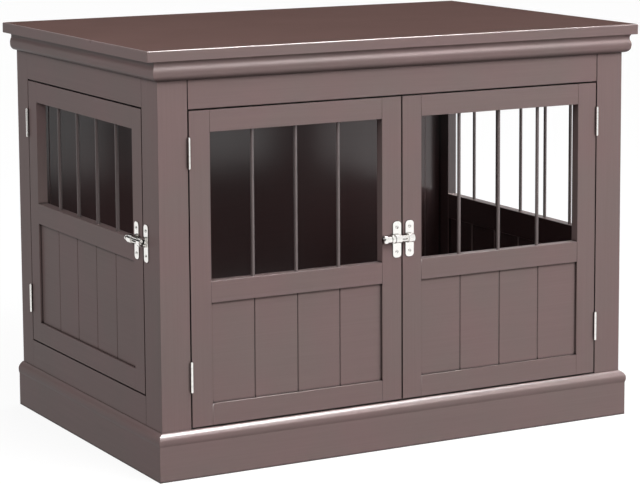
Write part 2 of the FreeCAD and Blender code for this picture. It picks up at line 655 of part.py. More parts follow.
# ---------------------------------------------------------------- assembly
def build():
    nodes = {"tabletop": tabletop()}
    nodes.update(moulding("cornice", cornice_profile(), 2 * CORNICE_BELLY))
    nodes.update(moulding("plinth", plinth_profile(), 2 * PLINTH_SHOULDER))
    nodes.update(posts())
    nodes.update(case_rails())
    nodes["right_lower_panel"] = right_lower_panel()
    nodes["right_window_bars"] = group([right_bar(y, BAR_RADIUS, BAR_SEAT)
                                        for y in right_bar_places()])
    nodes["back_panel"] = back_panel()
    nodes["floor_panel"] = floor_panel()
    nodes["floor_cleats"] = floor_cleats()
    nodes["door_stops"] = door_stops()

    doors = (("left_door", FRONT_DOOR, LEFT_PLACE, "front_left_post"),
             ("right_door", FRONT_DOOR, RIGHT_PLACE, "front_right_post"),
             ("side_door", SIDE_DOOR, SIDE_PLACE, "rear_left_post"))
    frame_leaves, pins, frame_screws, door_screws = [], [], [], {}
    for name, door, place, post in doors:
        for piece, shape in door_pieces(door).items():
            nodes[name + "_" + piece] = put(shape, place)
        nodes[name + "_hinge_leaves"] = put(group([hinge_leaf(z, True) for z in door["hinges"]]),
                                            place)
        frame_leaves += [put(hinge_leaf(z, False), place) for z in door["hinges"]]
        pins += [put(hinge_pin(z), place) for z in door["hinges"]]
        frame_screws += [put(screw, place) for screw in hinge_screws(door, False)]
        door_screws[name] = [put(screw, place) for screw in hinge_screws(door, True)]
        nodes[post] = cut_all(nodes[post], [put(hole, place) for hole in post_pilot_holes(door)])

    latches = (("front_latch", FRONT_LATCH, LEFT_PLACE, "left_door", "right_door_latch_stile"),
               ("side_latch", SIDE_LATCH, SIDE_PLACE, "side_door", "front_left_post"))
    for name, latch, place, carrier, keeper_wood in latches:
        housing_u = latch["gap"] - latch["housing"]
        keeper_u = latch["gap"] + latch["keeper"]
        nodes[name + "_housing"] = put(latch_housing(latch), place)
        nodes[name + "_keeper"] = put(latch_keeper(latch), place)
        nodes[name + "_bolt"] = put(latch_bolt(latch), place)
        door_screws[carrier] += [put(s, place) for s in plate_screws(latch, housing_u)]
        keeper_screws = [put(s, place) for s in plate_screws(latch, keeper_u)]
        if keeper_wood.startswith("right_door"):
            door_screws["right_door"] += keeper_screws
        else:
            frame_screws += keeper_screws
        for wood, u in ((carrier + "_latch_stile", housing_u), (keeper_wood, keeper_u)):
            holes = [put(hole, place) for hole in plate_pilots(latch, u)]
            nodes[wood] = cut_all(nodes[wood], holes)

    nodes["hinge_frame_leaves"] = group(frame_leaves)
    nodes["hinge_pins"] = group(pins)
    nodes["frame_screws"] = group(frame_screws)
    for name, screws in door_screws.items():
        nodes[name + "_screws"] = group(screws)
    return nodes


def main():
    os.makedirs("parts", exist_ok=True)
    for name, shape in build().items():
        shape.exportStep(os.path.join("parts", name + ".step"))


main()
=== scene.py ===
import json
import math
import random

import bmesh
import bpy
from mathutils import Matrix, Vector
from mathutils.bvhtree import BVHTree

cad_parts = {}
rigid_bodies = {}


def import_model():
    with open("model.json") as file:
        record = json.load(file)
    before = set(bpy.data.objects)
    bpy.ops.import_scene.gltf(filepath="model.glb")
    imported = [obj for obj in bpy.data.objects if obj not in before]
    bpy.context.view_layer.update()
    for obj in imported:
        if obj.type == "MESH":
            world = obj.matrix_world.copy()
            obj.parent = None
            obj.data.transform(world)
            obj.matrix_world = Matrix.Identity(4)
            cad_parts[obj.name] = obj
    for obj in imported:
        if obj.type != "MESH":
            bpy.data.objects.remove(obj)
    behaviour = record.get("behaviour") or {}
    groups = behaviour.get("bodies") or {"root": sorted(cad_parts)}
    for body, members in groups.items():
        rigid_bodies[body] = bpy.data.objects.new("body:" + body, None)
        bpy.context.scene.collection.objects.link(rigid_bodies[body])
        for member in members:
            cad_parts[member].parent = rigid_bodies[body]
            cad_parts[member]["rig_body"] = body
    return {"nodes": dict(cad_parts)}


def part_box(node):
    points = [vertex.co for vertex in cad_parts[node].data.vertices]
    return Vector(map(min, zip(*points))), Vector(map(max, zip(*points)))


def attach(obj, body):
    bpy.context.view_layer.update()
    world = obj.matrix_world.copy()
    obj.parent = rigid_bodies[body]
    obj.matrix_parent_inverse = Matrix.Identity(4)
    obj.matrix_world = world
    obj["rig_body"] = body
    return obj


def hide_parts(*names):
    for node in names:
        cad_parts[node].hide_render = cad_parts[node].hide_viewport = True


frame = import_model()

bl_info = {
    "name": "Dog crate end table",
    "version": (1, 0, 0),
    "blender": (4, 5, 0),
    "location": "3D View > Sidebar > Crate table",
    "description": "Panelled cabinet with barred doors, hinges and barrel bolts",
    "category": "Object",
}

# Frame: X right, Y back, Z up, metres; the origin is the middle of the footprint on the floor.
MM = 0.001
SHARP = math.radians(40)      # edges of boards and pressed steel that turn more stay sharp
GROWN_SHARP = math.radians(35)      # the same for bars, screws and pins
TURNED_SIDES = 48      # flats round a turned piece
GROWN_SIDES = 32      # flats round a bar, a screw or a pin
WELD = 0.004 * MM      # corners of a CAD mesh that are closer than this are one
FLAT = math.radians(0.3)      # faces of a CAD mesh that meet at less are one
GLOSS_TAKERS = "painted_and_foiled"      # pieces that the softboxes for the gloss light
NODES = frame["nodes"]
DOORS = ("left_door", "right_door", "side_door")
RIGHT_SIDE = ("right_top_rail", "right_sill_rail", "right_bottom_rail", "right_lower_panel")
FACING = 0.99      # a face looks a way when its normal is this close to it

# Kinds of node that come up often
MATH, VECTOR, RANGE = "ShaderNodeMath", "ShaderNodeVectorMath", "ShaderNodeMapRange"
COMBINE, NOISE, TRANSFORM = "ShaderNodeCombineXYZ", "ShaderNodeTexNoise", "GeometryNodeTransform"


def linear(code):
    """sRGB hex colour, written #RRGGBB, as linear red, green and blue."""
    parts = [int(code[i:i + 2], 16) / 255 for i in (1, 3, 5)]
    return tuple(p / 12.92 if p <= 0.04045 else ((p + 0.055) / 1.055) ** 2.4 for p in parts)


# ---------------------------------------------------------------- sizes and colours to change
def length(name, about, default):
    return bpy.props.FloatProperty(name=name, description=about, default=default * MM, min=0.0,
                                   precision=5, subtype="DISTANCE", unit="LENGTH")


def colour(name, about, code):
    return bpy.props.FloatVectorProperty(name=name, description=about, default=linear(code),
                                         size=3, min=0.0, max=1.0, subtype="COLOR")


def amount(name, about, default, top):
    return bpy.props.FloatProperty(name=name, description=about, default=default, min=0.0,
                                   max=top, subtype="FACTOR")


def power(name, about, default):
    return bpy.props.FloatProperty(name=name, description=about, default=default, min=0.0,
                                   subtype="POWER", unit="POWER")


class CrateWood(bpy.types.PropertyGroup):
    """How far the edges of the boards are eased."""
    free: length("Free edge", "Rounding of an edge that meets no other board", 0.5)
    case_joint: length("Case joint", "Rounding beside a joint with the next board", 0.9)
    door_joint: length("Door joint", "The same within a front door's frame", 0.8)
    side_joint: length("Side joint", "The same on the side door and the side rails", 0.15)
    joint_gap: length("Top rail gap", "Open joint between the front top rail and the posts", 1.6)
    joint_depth: length("Gap depth", "Depth of that open joint", 3.0)
    plank: length("Plank edge", "Rounding beside the grooves of a panel", 0.35)
    tabletop: length("Tabletop", "Rounding of the tabletop's upper and upright edges", 2.0)
    under: length("Under the tabletop", "Rounding of the tabletop's lower edges", 0.6)


class CrateMoulding(bpy.types.PropertyGroup):
    """Sections of the cornice and of the skirting board."""
    cornice_lip: length("Cornice lip", "How far the cornice stands out at its lower edge", 1.5)
    cornice_belly: length("Cornice belly", "How far it stands out at its belly and top", 12.0)
    cornice_waist: length("Cornice waist", "How far it stands out between belly and hollow", 11.0)
    belly_up: length("Belly height", "Lower edge of the cornice to its belly", 10.5)
    waist_up: length("Waist height", "Lower edge of the cornice to its waist", 20.5)
    ovolo: length("Ovolo bow", "Roundness of the cornice's lower curve off its chord", 3.1)
    belly_bow: length("Belly bow", "Roundness of its middle curve", 0.8)
    hollow: length("Hollow bow", "Depth of its hollow off the chord", 1.7)
    plinth_face: length("Skirting face", "Thickness of the skirting board", 8.5)
    plinth_lip: length("Skirting lip", "Thickness at its upper edge", 0.8)
    plinth_shoulder: length("Skirting shoulder", "Thickness where bead turns to crown", 9.6)
    bead: length("Bead", "Height of the bead", 12.0)
    crown: length("Crown", "Height of the sloping crown above the bead", 9.5)
    bead_bow: length("Bead bow", "Roundness of the bead off its chord", 0.9)
    crown_bow: length("Crown bow", "Roundness of the crown off its chord", 1.2)
    mitre: length("Mitre", "Rounding of the ends that meet in a mitre", 0.5)


class CrateSteel(bpy.types.PropertyGroup):
    """Bars, screws, hinges and latches."""
    bar_radius: length("Bar radius", "Radius of a window bar", 3.0)
    pan_head: length("Dome head radius", "Radius of the screw heads in the latch plates", 3.0)
    pan_height: length("Dome head height", "Height of those heads", 1.8)
    sunk_head: length("Sunk head radius", "Radius of the screw heads in the hinge leaves", 2.4)
    sunk_height: length("Sunk head depth", "Depth of those heads", 1.0)
    shank: length("Screw radius", "Radius of a screw's shank", 1.4)
    screw: length("Screw length", "Length of a screw under its head's bearing", 14.0)
    tip: length("Screw point", "Length of a screw's point", 3.0)
    cross: length("Cross recess", "Length of each arm of the recess, end to end", 3.6)
    slot: length("Recess width", "Width of each arm of the recess", 0.9)
    recess: length("Recess depth", "Depth of the recess in domed heads and knobs", 0.9)
    sunk_recess: length("Sunk recess", "Depth of the recess in sunk heads", 0.4)
    pin_radius: length("Pin radius", "Radius of a hinge pin", 1.1)
    pin_head: length("Pin head radius", "Radius of the heads on a hinge pin", 1.9)
    pin_head_height: length("Pin head height", "Height of those heads", 0.8)
    leaf_ease: length("Leaf edge", "Rounding of hinge leaves and knuckles", 0.18)
    latch_ease: length("Latch edge", "Rounding of latch plates and barrels", 0.5)
    bolt_radius: length("Bolt radius", "Radius of a latch's sliding bolt", 5.5)
    knob_radius: length("Knob radius", "Radius of the bolt's knob", 7.4)
    knob_length: length("Knob length", "Length of the knob", 8.0)
    knob_cross: length("Knob cross", "Length of the cross recess in the knob's end", 6.4)
    knob_ease: length("Knob edge", "Chamfer where the knob meets its neck", 0.7)
    nose_ease: length("Nose edge", "Chamfer round the bolt's nose", 1.0)
    side_knob: length("Side knob radius", "Radius of the side bolt's smaller knob", 4.6)
    side_neck: length("Side neck radius", "Radius of the side bolt behind its knob", 3.0)
    shoulder: length("Shoulder", "From the side housing's tail to the bolt's thick part", 14.0)
    side_set_in: length("Side knob set in", "How much shorter the side bolt is at its knob", 5.0)
    side_tail: length("Side tail", "How much shorter the side housing's barrel is there", 4.0)
    keyway: length("Keyway", "Width of the groove along each bolt", 3.0)
    keyway_depth: length("Keyway depth", "Depth of that groove", 4.2)
    keyway_run: length("Keyway run", "Length of that groove from the nose back", 22.0)
    plate_width: length("Plate width", "Width of a latch plate", 16.0)
    groove: length("Barrel groove", "Width of the groove round the front housing's barrel", 2.6)
    groove_set: length("Groove place", "From that groove to the housing's plate", 2.5)
    loop_short: length("Loop end", "How far the loops stop short of their plates' far edges", 5.0)


class CrateFinish(bpy.types.PropertyGroup):
    """Colours of the finishes."""
    paint_warm: colour("Warm paint", "Warmer of the two tones the paint drifts between", "#776463")
    paint_cool: colour("Cool paint", "Greyer of the two tones", "#746563")
    # the tabletop is darker and redder than the sides: partly its own paint, partly painted shade
    top: colour("Tabletop", "Paint of the tabletop", "#634E4A")
    # the board colour is painted shade: it darkens the cabin's floor and the faces towards the
    # cabin
    board: colour("Board", "Foil on the floor and on faces towards the cabin", "#3B2929")
    enamel: colour("Enamel", "Enamel of the bars", "#5E5352")
    nickel: colour("Nickel", "Plating of hinges, latches and screws", "#F0EEEA")
    floor: colour("Floor", "Studio floor under the table", "#403E3D")


class CrateStudio(bpy.types.PropertyGroup):
    """Light on the table: a soft dome, three lamps for the colour, two softboxes for the gloss."""
    overhead: amount("Overhead", "Level of the dome straight above", 0.45, 4.0)
    around: amount("Around", "Level of the dome at the horizon, on every side", 0.38, 4.0)
    front: amount("Front", "What the front of the dome adds", 1.05, 4.0)
    right: amount("Right", "What the right of the dome adds", 1.7, 4.0)
    wash: power("Wash", "Power of the lamp on the left, for colour alone", 7.5)
    key: power("Key", "Power of the lamp at the right front, for colour alone", 24.0)
    high: power("High", "Power of the high lamp in front, for colour alone", 92.0)
    sheen: power("Sheen", "Power of the tall front softbox, for gloss alone", 600.0)
    glint: power("Glint", "Power of the overhead softbox, for gloss alone", 5600.0)
    floor_glow: amount("Floor glow", "Share of the floor's white that no shadow takes", 0.86, 1.0)


GROUPS = {"crate_wood": CrateWood, "crate_moulding": CrateMoulding, "crate_steel": CrateSteel,
          "crate_finish": CrateFinish, "crate_studio": CrateStudio}


# ---------------------------------------------------------------- small helpers
def add(tree, kind, inputs=None, **settings):
    """Adds a node with its settings. inputs maps a socket's name or index to a value, to a socket
    or a node that is linked to it (a node by its first output), or to a list of these."""
    made = tree.nodes.new(kind)
    for key, value in settings.items():
        setattr(made, key, value)
    for key, values in (inputs or {}).items():
        for value in values if isinstance(values, list) else [values]:
            if isinstance(value, bpy.types.Node):
                value = value.outputs[0]
            if isinstance(value, bpy.types.NodeSocket):
                tree.links.new(value, made.inputs[key])
            else:
                made.inputs[key].default_value = value
    return made


def bare_tree(owner):
    """Empty node tree of a material or a world."""
    owner.use_nodes = True
    owner.node_tree.nodes.clear()
    return owner.node_tree


def new_object(name, data):
    made = bpy.data.objects.new(name, data)
    bpy.context.scene.collection.objects.link(made)
    return made


def object_from(bm, name):
    """Object of a bmesh, faces turned outward."""
    bmesh.ops.recalc_face_normals(bm, faces=bm.faces)
    mesh = bpy.data.meshes.new(name)
    bm.to_mesh(mesh)
    bm.free()
    return new_object(name, mesh)


def applied(piece):
    """Turns what the modifiers make of a piece into its plain mesh."""
    bpy.context.view_layer.update()
    seen = piece.evaluated_get(bpy.context.evaluated_depsgraph_get())
    mesh = bpy.data.meshes.new_from_object(seen)
    piece.modifiers.clear()
    piece.data = mesh
    mesh.name = piece.name
    return piece


def shaded(mesh, angle):
    """Smooths curved faces and keeps the edges that turn by more than the angle sharp."""
    mesh.shade_smooth()
    mesh.set_sharp_from_angle(angle=angle)


def smoothed(piece):
    """Smooths a piece's curved faces and keeps its flat faces flat."""
    shaded(piece.data, SHARP)
    normals = piece.modifiers.new("flat faces", "WEIGHTED_NORMAL")
    normals.keep_sharp, normals.weight = True, 100
    return applied(piece)


def rounded(piece, width, segments, weighted=True):
    """Rounds a piece's edges, by weight or wherever they are sharp."""
    bevel = piece.modifiers.new("ease", "BEVEL")
    bevel.width, bevel.segments, bevel.angle_limit = width, segments, SHARP
    bevel.limit_method = "WEIGHT" if weighted else "ANGLE"
    return smoothed(applied(piece))


def turned(name, section, spot, closed=False):
    """Solid turned on an axis from a section of (along, radius); spot gives a point's place."""
    bm = bmesh.new()
    rings = [[bm.verts.new(spot(along, radius, math.tau * i / TURNED_SIDES))
              for i in range(TURNED_SIDES if radius > 0 else 1)] for along, radius in section]
    pairs = list(zip(rings, rings[1:])) + ([(rings[-1], rings[0])] if closed else [])
    for one, two in pairs:
        for i in range(TURNED_SIDES):
            j = (i + 1) % TURNED_SIDES
            corners = [one[i % len(one)], one[j % len(one)], two[j % len(two)], two[i % len(two)]]
            bm.faces.new(list(dict.fromkeys(corners)))
    return object_from(bm, name)


def add_box(bm, low, high):
    """Adds an upright box between two corners."""
    bmesh.ops.create_cube(bm, size=1.0, matrix=Matrix.Translation((low + high) / 2)
                          @ Matrix.Diagonal((high - low).to_4d()))


def block(name, low, high):
    bm = bmesh.new()
    add_box(bm, Vector(map(min, low, high)), Vector(map(max, low, high)))
    return object_from(bm, name)


def cut(piece, tools):
    """Cuts each tool out of a piece and throws the tool away."""
    for tool in tools:
        knife = piece.modifiers.new("cut", "BOOLEAN")
        knife.operation, knife.solver, knife.object = "DIFFERENCE", "EXACT", tool
        applied(piece)
        bpy.data.objects.remove(tool)
    return piece


def place(piece, node, slot, *finishes):
    """Puts a finished piece in the place of a CAD node, on that node's body."""
    piece.data.materials.clear()
    for finish in finishes:
        piece.data.materials.append(finish)
    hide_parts(node)
    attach(piece, NODES[node]["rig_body"])
    if slot != "plated_steel":
        bpy.data.collections[GLOSS_TAKERS].objects.link(piece)
    return piece


def finish_of(name):
    if name not in bpy.data.materials:
        raise RuntimeError(f"make the finishes first: there is no {name}")
    return bpy.data.materials[name]


TOP_SEED, MOULDING_SEED = 100, 200      # boards take their own number as the grain's seed


def lay_grain(mesh, seed):
    """Stores where each vertex lies along, across and through its board, in metres."""
    points = [v.co.copy() for v in mesh.vertices]
    spans = [max(p[i] for p in points) - min(p[i] for p in points) for i in range(3)]
    along = spans.index(max(spans))
    shift = random.Random(seed)
    starts = [(axis % 3, shift.uniform(0, 3)) for axis in range(along, along + 3)]
    layer = mesh.attributes.new("grain_at", "FLOAT_VECTOR", "POINT")
    for point, item in zip(points, layer.data):
        item.vector = [point[axis] + start for axis, start in starts]


# ---------------------------------------------------------------- finishes
DRIFT = 140 * MM      # the paint's tone drifts over a hand's breadth
GRAIN_LONG, GRAIN_APART = 180 * MM, 2.5 * MM      # length and spacing of the grain's lines
PEEL = 2.5 * MM      # spray texture: real peel is under 1 mm, drawn coarser so that it shows at all
PAINTED_SHADE_REACH = 6 * MM      # painted shade darkens grooves, joints and corners this deep
LUMPS = 12 * MM      # between the lumps in the enamel
HAZE = 6 * MM      # size of the patches of handling haze on nickel
DRAWN_LONG, DRAWN_APART = 20 * MM, 0.6 * MM      # drawing lines in pressed steel
NICKEL_SHADE_REACH = 3 * MM      # painted shade darkens recesses and slots this deep
PALER = 0.95      # the second tone of a finish that hardly drifts


def open_finish(name):
    """Empty tree of a new finish, and the place on the object in metres."""
    tree = bare_tree(bpy.data.materials.new(name))
    return tree, add(tree, "ShaderNodeTexCoord").outputs["Object"]


def with_painted_shade(tree, shade, reach, dark, light, least):
    """Colour factor with painted shade, falling to its least in hollows: dark and light are how
    open the place is.
    """
    near = add(tree, "ShaderNodeAmbientOcclusion", {"Distance": reach}, samples=8)
    share = add(tree, RANGE, {"Value": near.outputs["AO"], "From Min": dark, "From Max": light,
                              "To Min": least})
    return add(tree, MATH, {0: shade, 1: share}, operation="MULTIPLY")


def close_finish(tree, tone, shade, rough, relief, strength, depth, constants):
    """Ends a finish: its tone times its shade, its roughness, its relief and its constants."""
    toned = add(tree, VECTOR, {0: tone, "Scale": shade}, operation="SCALE")
    bump = add(tree, "ShaderNodeBump", {
        "Height": relief, "Strength": strength, "Distance": depth})
    shader = add(tree, "ShaderNodeBsdfPrincipled", {
        "Base Color": toned, "Roughness": rough, "Normal": bump, **constants})
    add(tree, "ShaderNodeOutputMaterial", {"Surface": shader})


def satin_paint(name, warm, cool, roughness, gloss):
    """Sprayed satin paint on planed wood and fibreboard: an even soft sheen, a faint drift of
    tone, painted shade that darkens its hollows, and the wood's grain just telegraphing through the
    coats. Matt paint and foil are the same with their own sheen."""
    tree, here = open_finish(name)
    board = add(tree, "ShaderNodeAttribute", attribute_name="grain_at").outputs["Vector"]
    drift = add(tree, NOISE, {"Vector": here, "Scale": 1 / DRIFT, "Detail": 2.0})
    lean = add(tree, RANGE, {"Value": drift, "From Min": 0.35, "From Max": 0.65})
    base = add(tree, "ShaderNodeMix", {0: lean, 6: warm + (1,), 7: cool + (1,)},
               data_type="RGBA").outputs[2]
    stretch = add(tree, "ShaderNodeMapping", {"Vector": board, "Scale": (
        1 / GRAIN_LONG, 1 / GRAIN_APART, 1 / GRAIN_APART)})
    grain = add(tree, NOISE, {"Vector": stretch, "Scale": 1.0, "Detail": 3.0, "Roughness": 0.55})
    shade = add(tree, RANGE, {"Value": grain, "From Min": 0.3, "From Max": 0.7,
                              "To Min": 0.97, "To Max": 1.03})
    # painted shade: the colour darkens in grooves, joints and corners, where shade falls
    shade = with_painted_shade(tree, shade, PAINTED_SHADE_REACH, 0.4, 0.85, 0.06)
    peel = add(tree, NOISE, {"Vector": here, "Scale": 1 / PEEL, "Detail": 1.0})
    relief = add(tree, MATH, {0: grain, 1: peel}, operation="ADD")
    worn = add(tree, RANGE, {"Value": drift, "To Min": roughness - 0.05,
                             "To Max": roughness + 0.05})
    close_finish(tree, base, shade, worn, relief, 0.1, 0.1 * MM,
                 {"IOR": 1.45, "Specular IOR Level": gloss})


def bar_enamel(name, tone):
    """Stoved enamel on steel wire: smooth, satin, a thin soft streak of light down each bar."""
    tree, here = open_finish(name)
    lumps = add(tree, NOISE, {"Vector": here, "Scale": 1 / LUMPS, "Detail": 2.0})
    shade = add(tree, RANGE, {"Value": lumps, "To Min": 0.93, "To Max": 1.07})
    rough = add(tree, RANGE, {"Value": lumps, "To Min": 0.3, "To Max": 0.42})
    close_finish(tree, tone, shade, rough, lumps, 0.2, 0.1 * MM, {"Specular IOR Level": 0.3})


def bright_nickel(name, tone):
    """Bright nickel plate on pressed steel: near mirror, very slightly warm, with faint
    drawing lines, handling haze that breaks up the reflections, and painted shade in its recesses."""
    tree, here = open_finish(name)
    haze = add(tree, NOISE, {"Vector": here, "Scale": 1 / HAZE, "Detail": 3.0})
    rough = add(tree, RANGE, {"Value": haze, "To Min": 0.1, "To Max": 0.26})
    lines = add(tree, "ShaderNodeMapping", {"Vector": here, "Scale": (
        1 / DRAWN_APART, 1 / DRAWN_APART, 1 / DRAWN_LONG)})
    drawn = add(tree, NOISE, {"Vector": lines, "Scale": 1.0})
    tint_and_painted_shade = add(tree, RANGE, {"Value": drawn, "To Min": 0.94, "To Max": 1.06})
    # painted shade: the plating darkens in recesses and slots
    tint_and_painted_shade = with_painted_shade(tree, tint_and_painted_shade, NICKEL_SHADE_REACH, 0.35, 0.75, 0.03)
    close_finish(tree, tone, tint_and_painted_shade, rough, drawn, 0.1, 0.02 * MM, {"Metallic": 1.0})


class CRATE_OT_finishes(bpy.types.Operator):
    """Makes the paint, foil, enamel and nickel"""
    bl_idname = "crate.finishes"
    bl_label = "Finishes"

    def execute(self, context):
        tones = context.scene.crate_finish
        top, board = Vector(tones.top), Vector(tones.board)
        # matt paint keeps the top dull, its darker tone partly painted shade; glossy foil mirrors
        # the windows
        #         # softly, and the matt foil of the floor only shimmers; both foils' dark colour is
        #         painted shade
        for name, warm, cool, roughness, gloss in (
                ("satin_paint_on_wood", tones.paint_warm, tones.paint_cool, 0.3, 0.04),
                ("matt_paint_on_tabletop", top, top * PALER, 0.6, 0.0),
                ("foiled_fibreboard", board, board * PALER, 0.2, 0.9),
                ("matt_foil_on_floorboard", board, board * PALER, 0.5, 0.3)):
            satin_paint(name, tuple(warm), tuple(cool), roughness, gloss)
        bar_enamel("stoved_enamel", tuple(tones.enamel))
        bright_nickel("bright_nickel_plate", tuple(tones.nickel))
        return {"FINISHED"}


# ---------------------------------------------------------------- boards
SKEW = Vector((0.3713, 0.2291, 0.8999)).normalized()      # a way that no board's face follows
NUDGE = 0.35 * MM      # how far off an edge its surroundings are felt for
SHORT_EDGE, BLUNT = 5 * MM, math.radians(25)      # shorter and blunter edges aren't eased


def inside(point, corners, tree):
    """Whether a point lies in a solid, by how often a ray from it leaves or enters."""
    low, high = corners
    if any(point[i] < low[i] or point[i] > high[i] for i in range(3)):
        return False
    hits, at = 0, point.copy()
    while (where := tree.ray_cast(at, SKEW)[0]) is not None:
        hits += 1
        at = where + SKEW * 1e-6
    return hits % 2 == 1


def copied(node, name, weigh=None):
    """Copy of a CAD node, its triangles joined into whole faces; weigh may weigh its edges."""
    bm = bmesh.new()
    bm.from_mesh(NODES[node].data)
    bmesh.ops.remove_doubles(bm, verts=bm.verts, dist=WELD)
    bmesh.ops.dissolve_limit(bm, angle_limit=FLAT, use_dissolve_boundaries=False,
                             verts=bm.verts, edges=bm.edges)
    if weigh:
        weigh(bm)
    piece = object_from(bm, name)
    layers = piece.data.attributes
    for layer in [a.name for a in layers if not a.is_internal and not a.is_required]:
        if layer not in ("bevel_weight_edge", "sharp_edge"):
            layers.remove(layers[layer])
    return piece


def weigh_edges(bm, held, free, joint, widest):
    """Gives each outer edge its rounding: full where it is free, less where it is flush with a
    neighbour, none inside a joint or a hole. held tells whether a neighbour fills a point."""
    layer = bm.edges.layers.float.new("bevel_weight_edge")
    for edge in bm.edges:
        if len(edge.link_faces) != 2 or edge.calc_length() < SHORT_EDGE:
            continue
        one, two = (face.normal for face in edge.link_faces)
        if not edge.is_convex or one.angle(two) < BLUNT:
            continue
        a, b = (v.co for v in edge.verts)
        spots = [a.lerp(b, t) for t in (0.02, 0.5, 0.98)]
        if all(held(spot + (one + two) * NUDGE) for spot in spots):
            continue
        flush = any(held(spot + way * NUDGE - back * NUDGE)
                    for spot in spots for way, back in ((one, two), (two, one)))
        edge[layer] = (joint if flush else free) / widest


def board_nodes():
    """The nodes that are plain boards, each with the name of the rounding at its joints."""
    boards = dict.fromkeys((
        "front_left_post", "front_right_post", "rear_left_post", "rear_right_post",
        "front_top_rail", "front_bottom_rail", "back_panel", "floor_panel", "floor_cleats",
        "door_stops", *RIGHT_SIDE), "case_joint")
    boards.update(left_top_rail="side_joint", left_bottom_rail="side_joint")
    for door in DOORS:
        for part in ("hinge_stile", "latch_stile", "top_rail", "mid_rail", "bottom_rail", "panel"):
            boards[f"{door}_{part}"] = "side_joint" if door == "side_door" else "door_joint"
    return boards


PLAIN = ("back_panel", "floor_panel", "floor_cleats")      # fibreboard
# Faces towards the cabin that take dark foil, as ways out of the piece; the foil's dark colour is
# painted shade of the cabin
CABIN_SHADE_FACES = {"back_panel": ((0, -1, 0),), "rear_left_post": ((0, -1, 0), (1, 0, 0)),
          "rear_right_post": ((0, -1, 0), (-1, 0, 0)), **dict.fromkeys(RIGHT_SIDE, ((-1, 0, 0),))}


def open_joints(rail, gap, depth):
    """Opens the front top rail's joints with the two posts to narrow grooves."""
    low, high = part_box("front_top_rail")
    left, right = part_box("front_left_post")[1].x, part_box("front_right_post")[0].x
    grooves = [block("groove", (start, low.y - MM, low.z - MM),
                     (start + gap, low.y + depth, high.z + MM)) for start in (left, right - gap)]
    return smoothed(cut(rail, grooves))


class CRATE_OT_boards(bpy.types.Operator):
    """Eases the edges of posts, rails, stiles, panels, floor and back"""
    bl_idname = "crate.boards"
    bl_label = "Boards and panels"

    def execute(self, context):
        wood = context.scene.crate_wood
        solids = {name: (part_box(name), BVHTree.FromPolygons(
            [v.co for v in obj.data.vertices], [p.vertices for p in obj.data.polygons]))
            for name, obj in NODES.items()}
        for seed, (node, joint) in enumerate(board_nodes().items()):
            free = wood.plank if node.endswith("panel") else wood.free
            beside = getattr(wood, joint)
            widest = max(free, beside)
            others = [solid for name, solid in solids.items() if name != node]
            piece = copied(node, node + "_wood", lambda bm: weigh_edges(
                bm, lambda at: any(inside(at, *solid) for solid in others), free, beside, widest))
            piece = rounded(piece, widest, 2)
            if node == "front_top_rail":
                piece = open_joints(piece, wood.joint_gap, wood.joint_depth)
            lay_grain(piece.data, seed)
            slot = "board" if node in PLAIN else "painted_wood"
            # faces towards the cabin take the dark foil: painted shade of the cabin
            finishes = ["satin_paint_on_wood"] + ["foiled_fibreboard"] * (node in CABIN_SHADE_FACES)
            if node == "floor_panel":
                finishes = ["matt_foil_on_floorboard"]
            place(piece, node, slot, *map(finish_of, finishes))
            inward = [Vector(way) for way in CABIN_SHADE_FACES.get(node, ())]
            for face in piece.data.polygons:
                face.material_index = int(any(face.normal.dot(way) > FACING for way in inward))
        return {"FINISHED"}


class CRATE_OT_tabletop(bpy.types.Operator):
    """Makes the rounded slab of the tabletop"""
    bl_idname = "crate.tabletop"
    bl_label = "Tabletop"

    def execute(self, context):
        wood = context.scene.crate_wood
        low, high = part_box("tabletop")
        bm = bmesh.new()
        add_box(bm, low, high)
        layer = bm.edges.layers.float.new("bevel_weight_edge")
        for edge in bm.edges:
            under = all(v.co.z < high.z - MM for v in edge.verts)
            edge[layer] = wood.under / wood.tabletop if under else 1.0
        piece = rounded(object_from(bm, "tabletop_wood"), wood.tabletop, 4)
        lay_grain(piece.data, TOP_SEED)
        place(piece, "tabletop", "painted_wood", finish_of("satin_paint_on_wood"),
              finish_of("matt_paint_on_tabletop"))
        # the upward face takes the darker top paint, partly painted shade
        for face in piece.data.polygons:
            face.material_index = int(face.normal.z > FACING)
        return {"FINISHED"}


# ---------------------------------------------------------------- mouldings
def arc(start, end, bow, steps):
    """Points after the start of an arc in a section, bowed outward from its chord."""
    start, end = Vector(start), Vector(end)
    chord = end - start
    if abs(bow) < 1e-9:
        return [tuple(end)]
    half = chord.length / 2
    radius = (half * half + bow * bow) / (2 * abs(bow))
    outward = Vector((chord.y, -chord.x)).normalized() * (1 if bow > 0 else -1)
    centre = (start + end) / 2 + outward * (abs(bow) - radius)
    first, last = start - centre, end - centre
    sweep = first.angle_signed(last)
    return [tuple(centre + Matrix.Rotation(-sweep * i / steps, 2) @ first)
            for i in range(1, steps + 1)]


def cornice_section(sizes, low, top):
    lip = (sizes.cornice_lip, low)
    belly = (sizes.cornice_belly, low + sizes.belly_up)
    waist = (sizes.cornice_waist, low + sizes.waist_up)
    return ([(0, low), lip] + arc(lip, belly, sizes.ovolo, 10)
            + arc(belly, waist, sizes.belly_bow, 6)
            + arc(waist, (sizes.cornice_belly, top), -sizes.hollow, 8) + [(0, top)])


def plinth_section(sizes, low, top):
    bead_low = (sizes.plinth_face, top - sizes.crown - sizes.bead)
    bead_high = (sizes.plinth_shoulder, top - sizes.crown)
    return ([(0, low), (sizes.plinth_face, low), bead_low]
            + arc(bead_low, bead_high, sizes.bead_bow, 8)
            + arc(bead_high, (sizes.plinth_lip, top), sizes.crown_bow, 10) + [(0, top)])


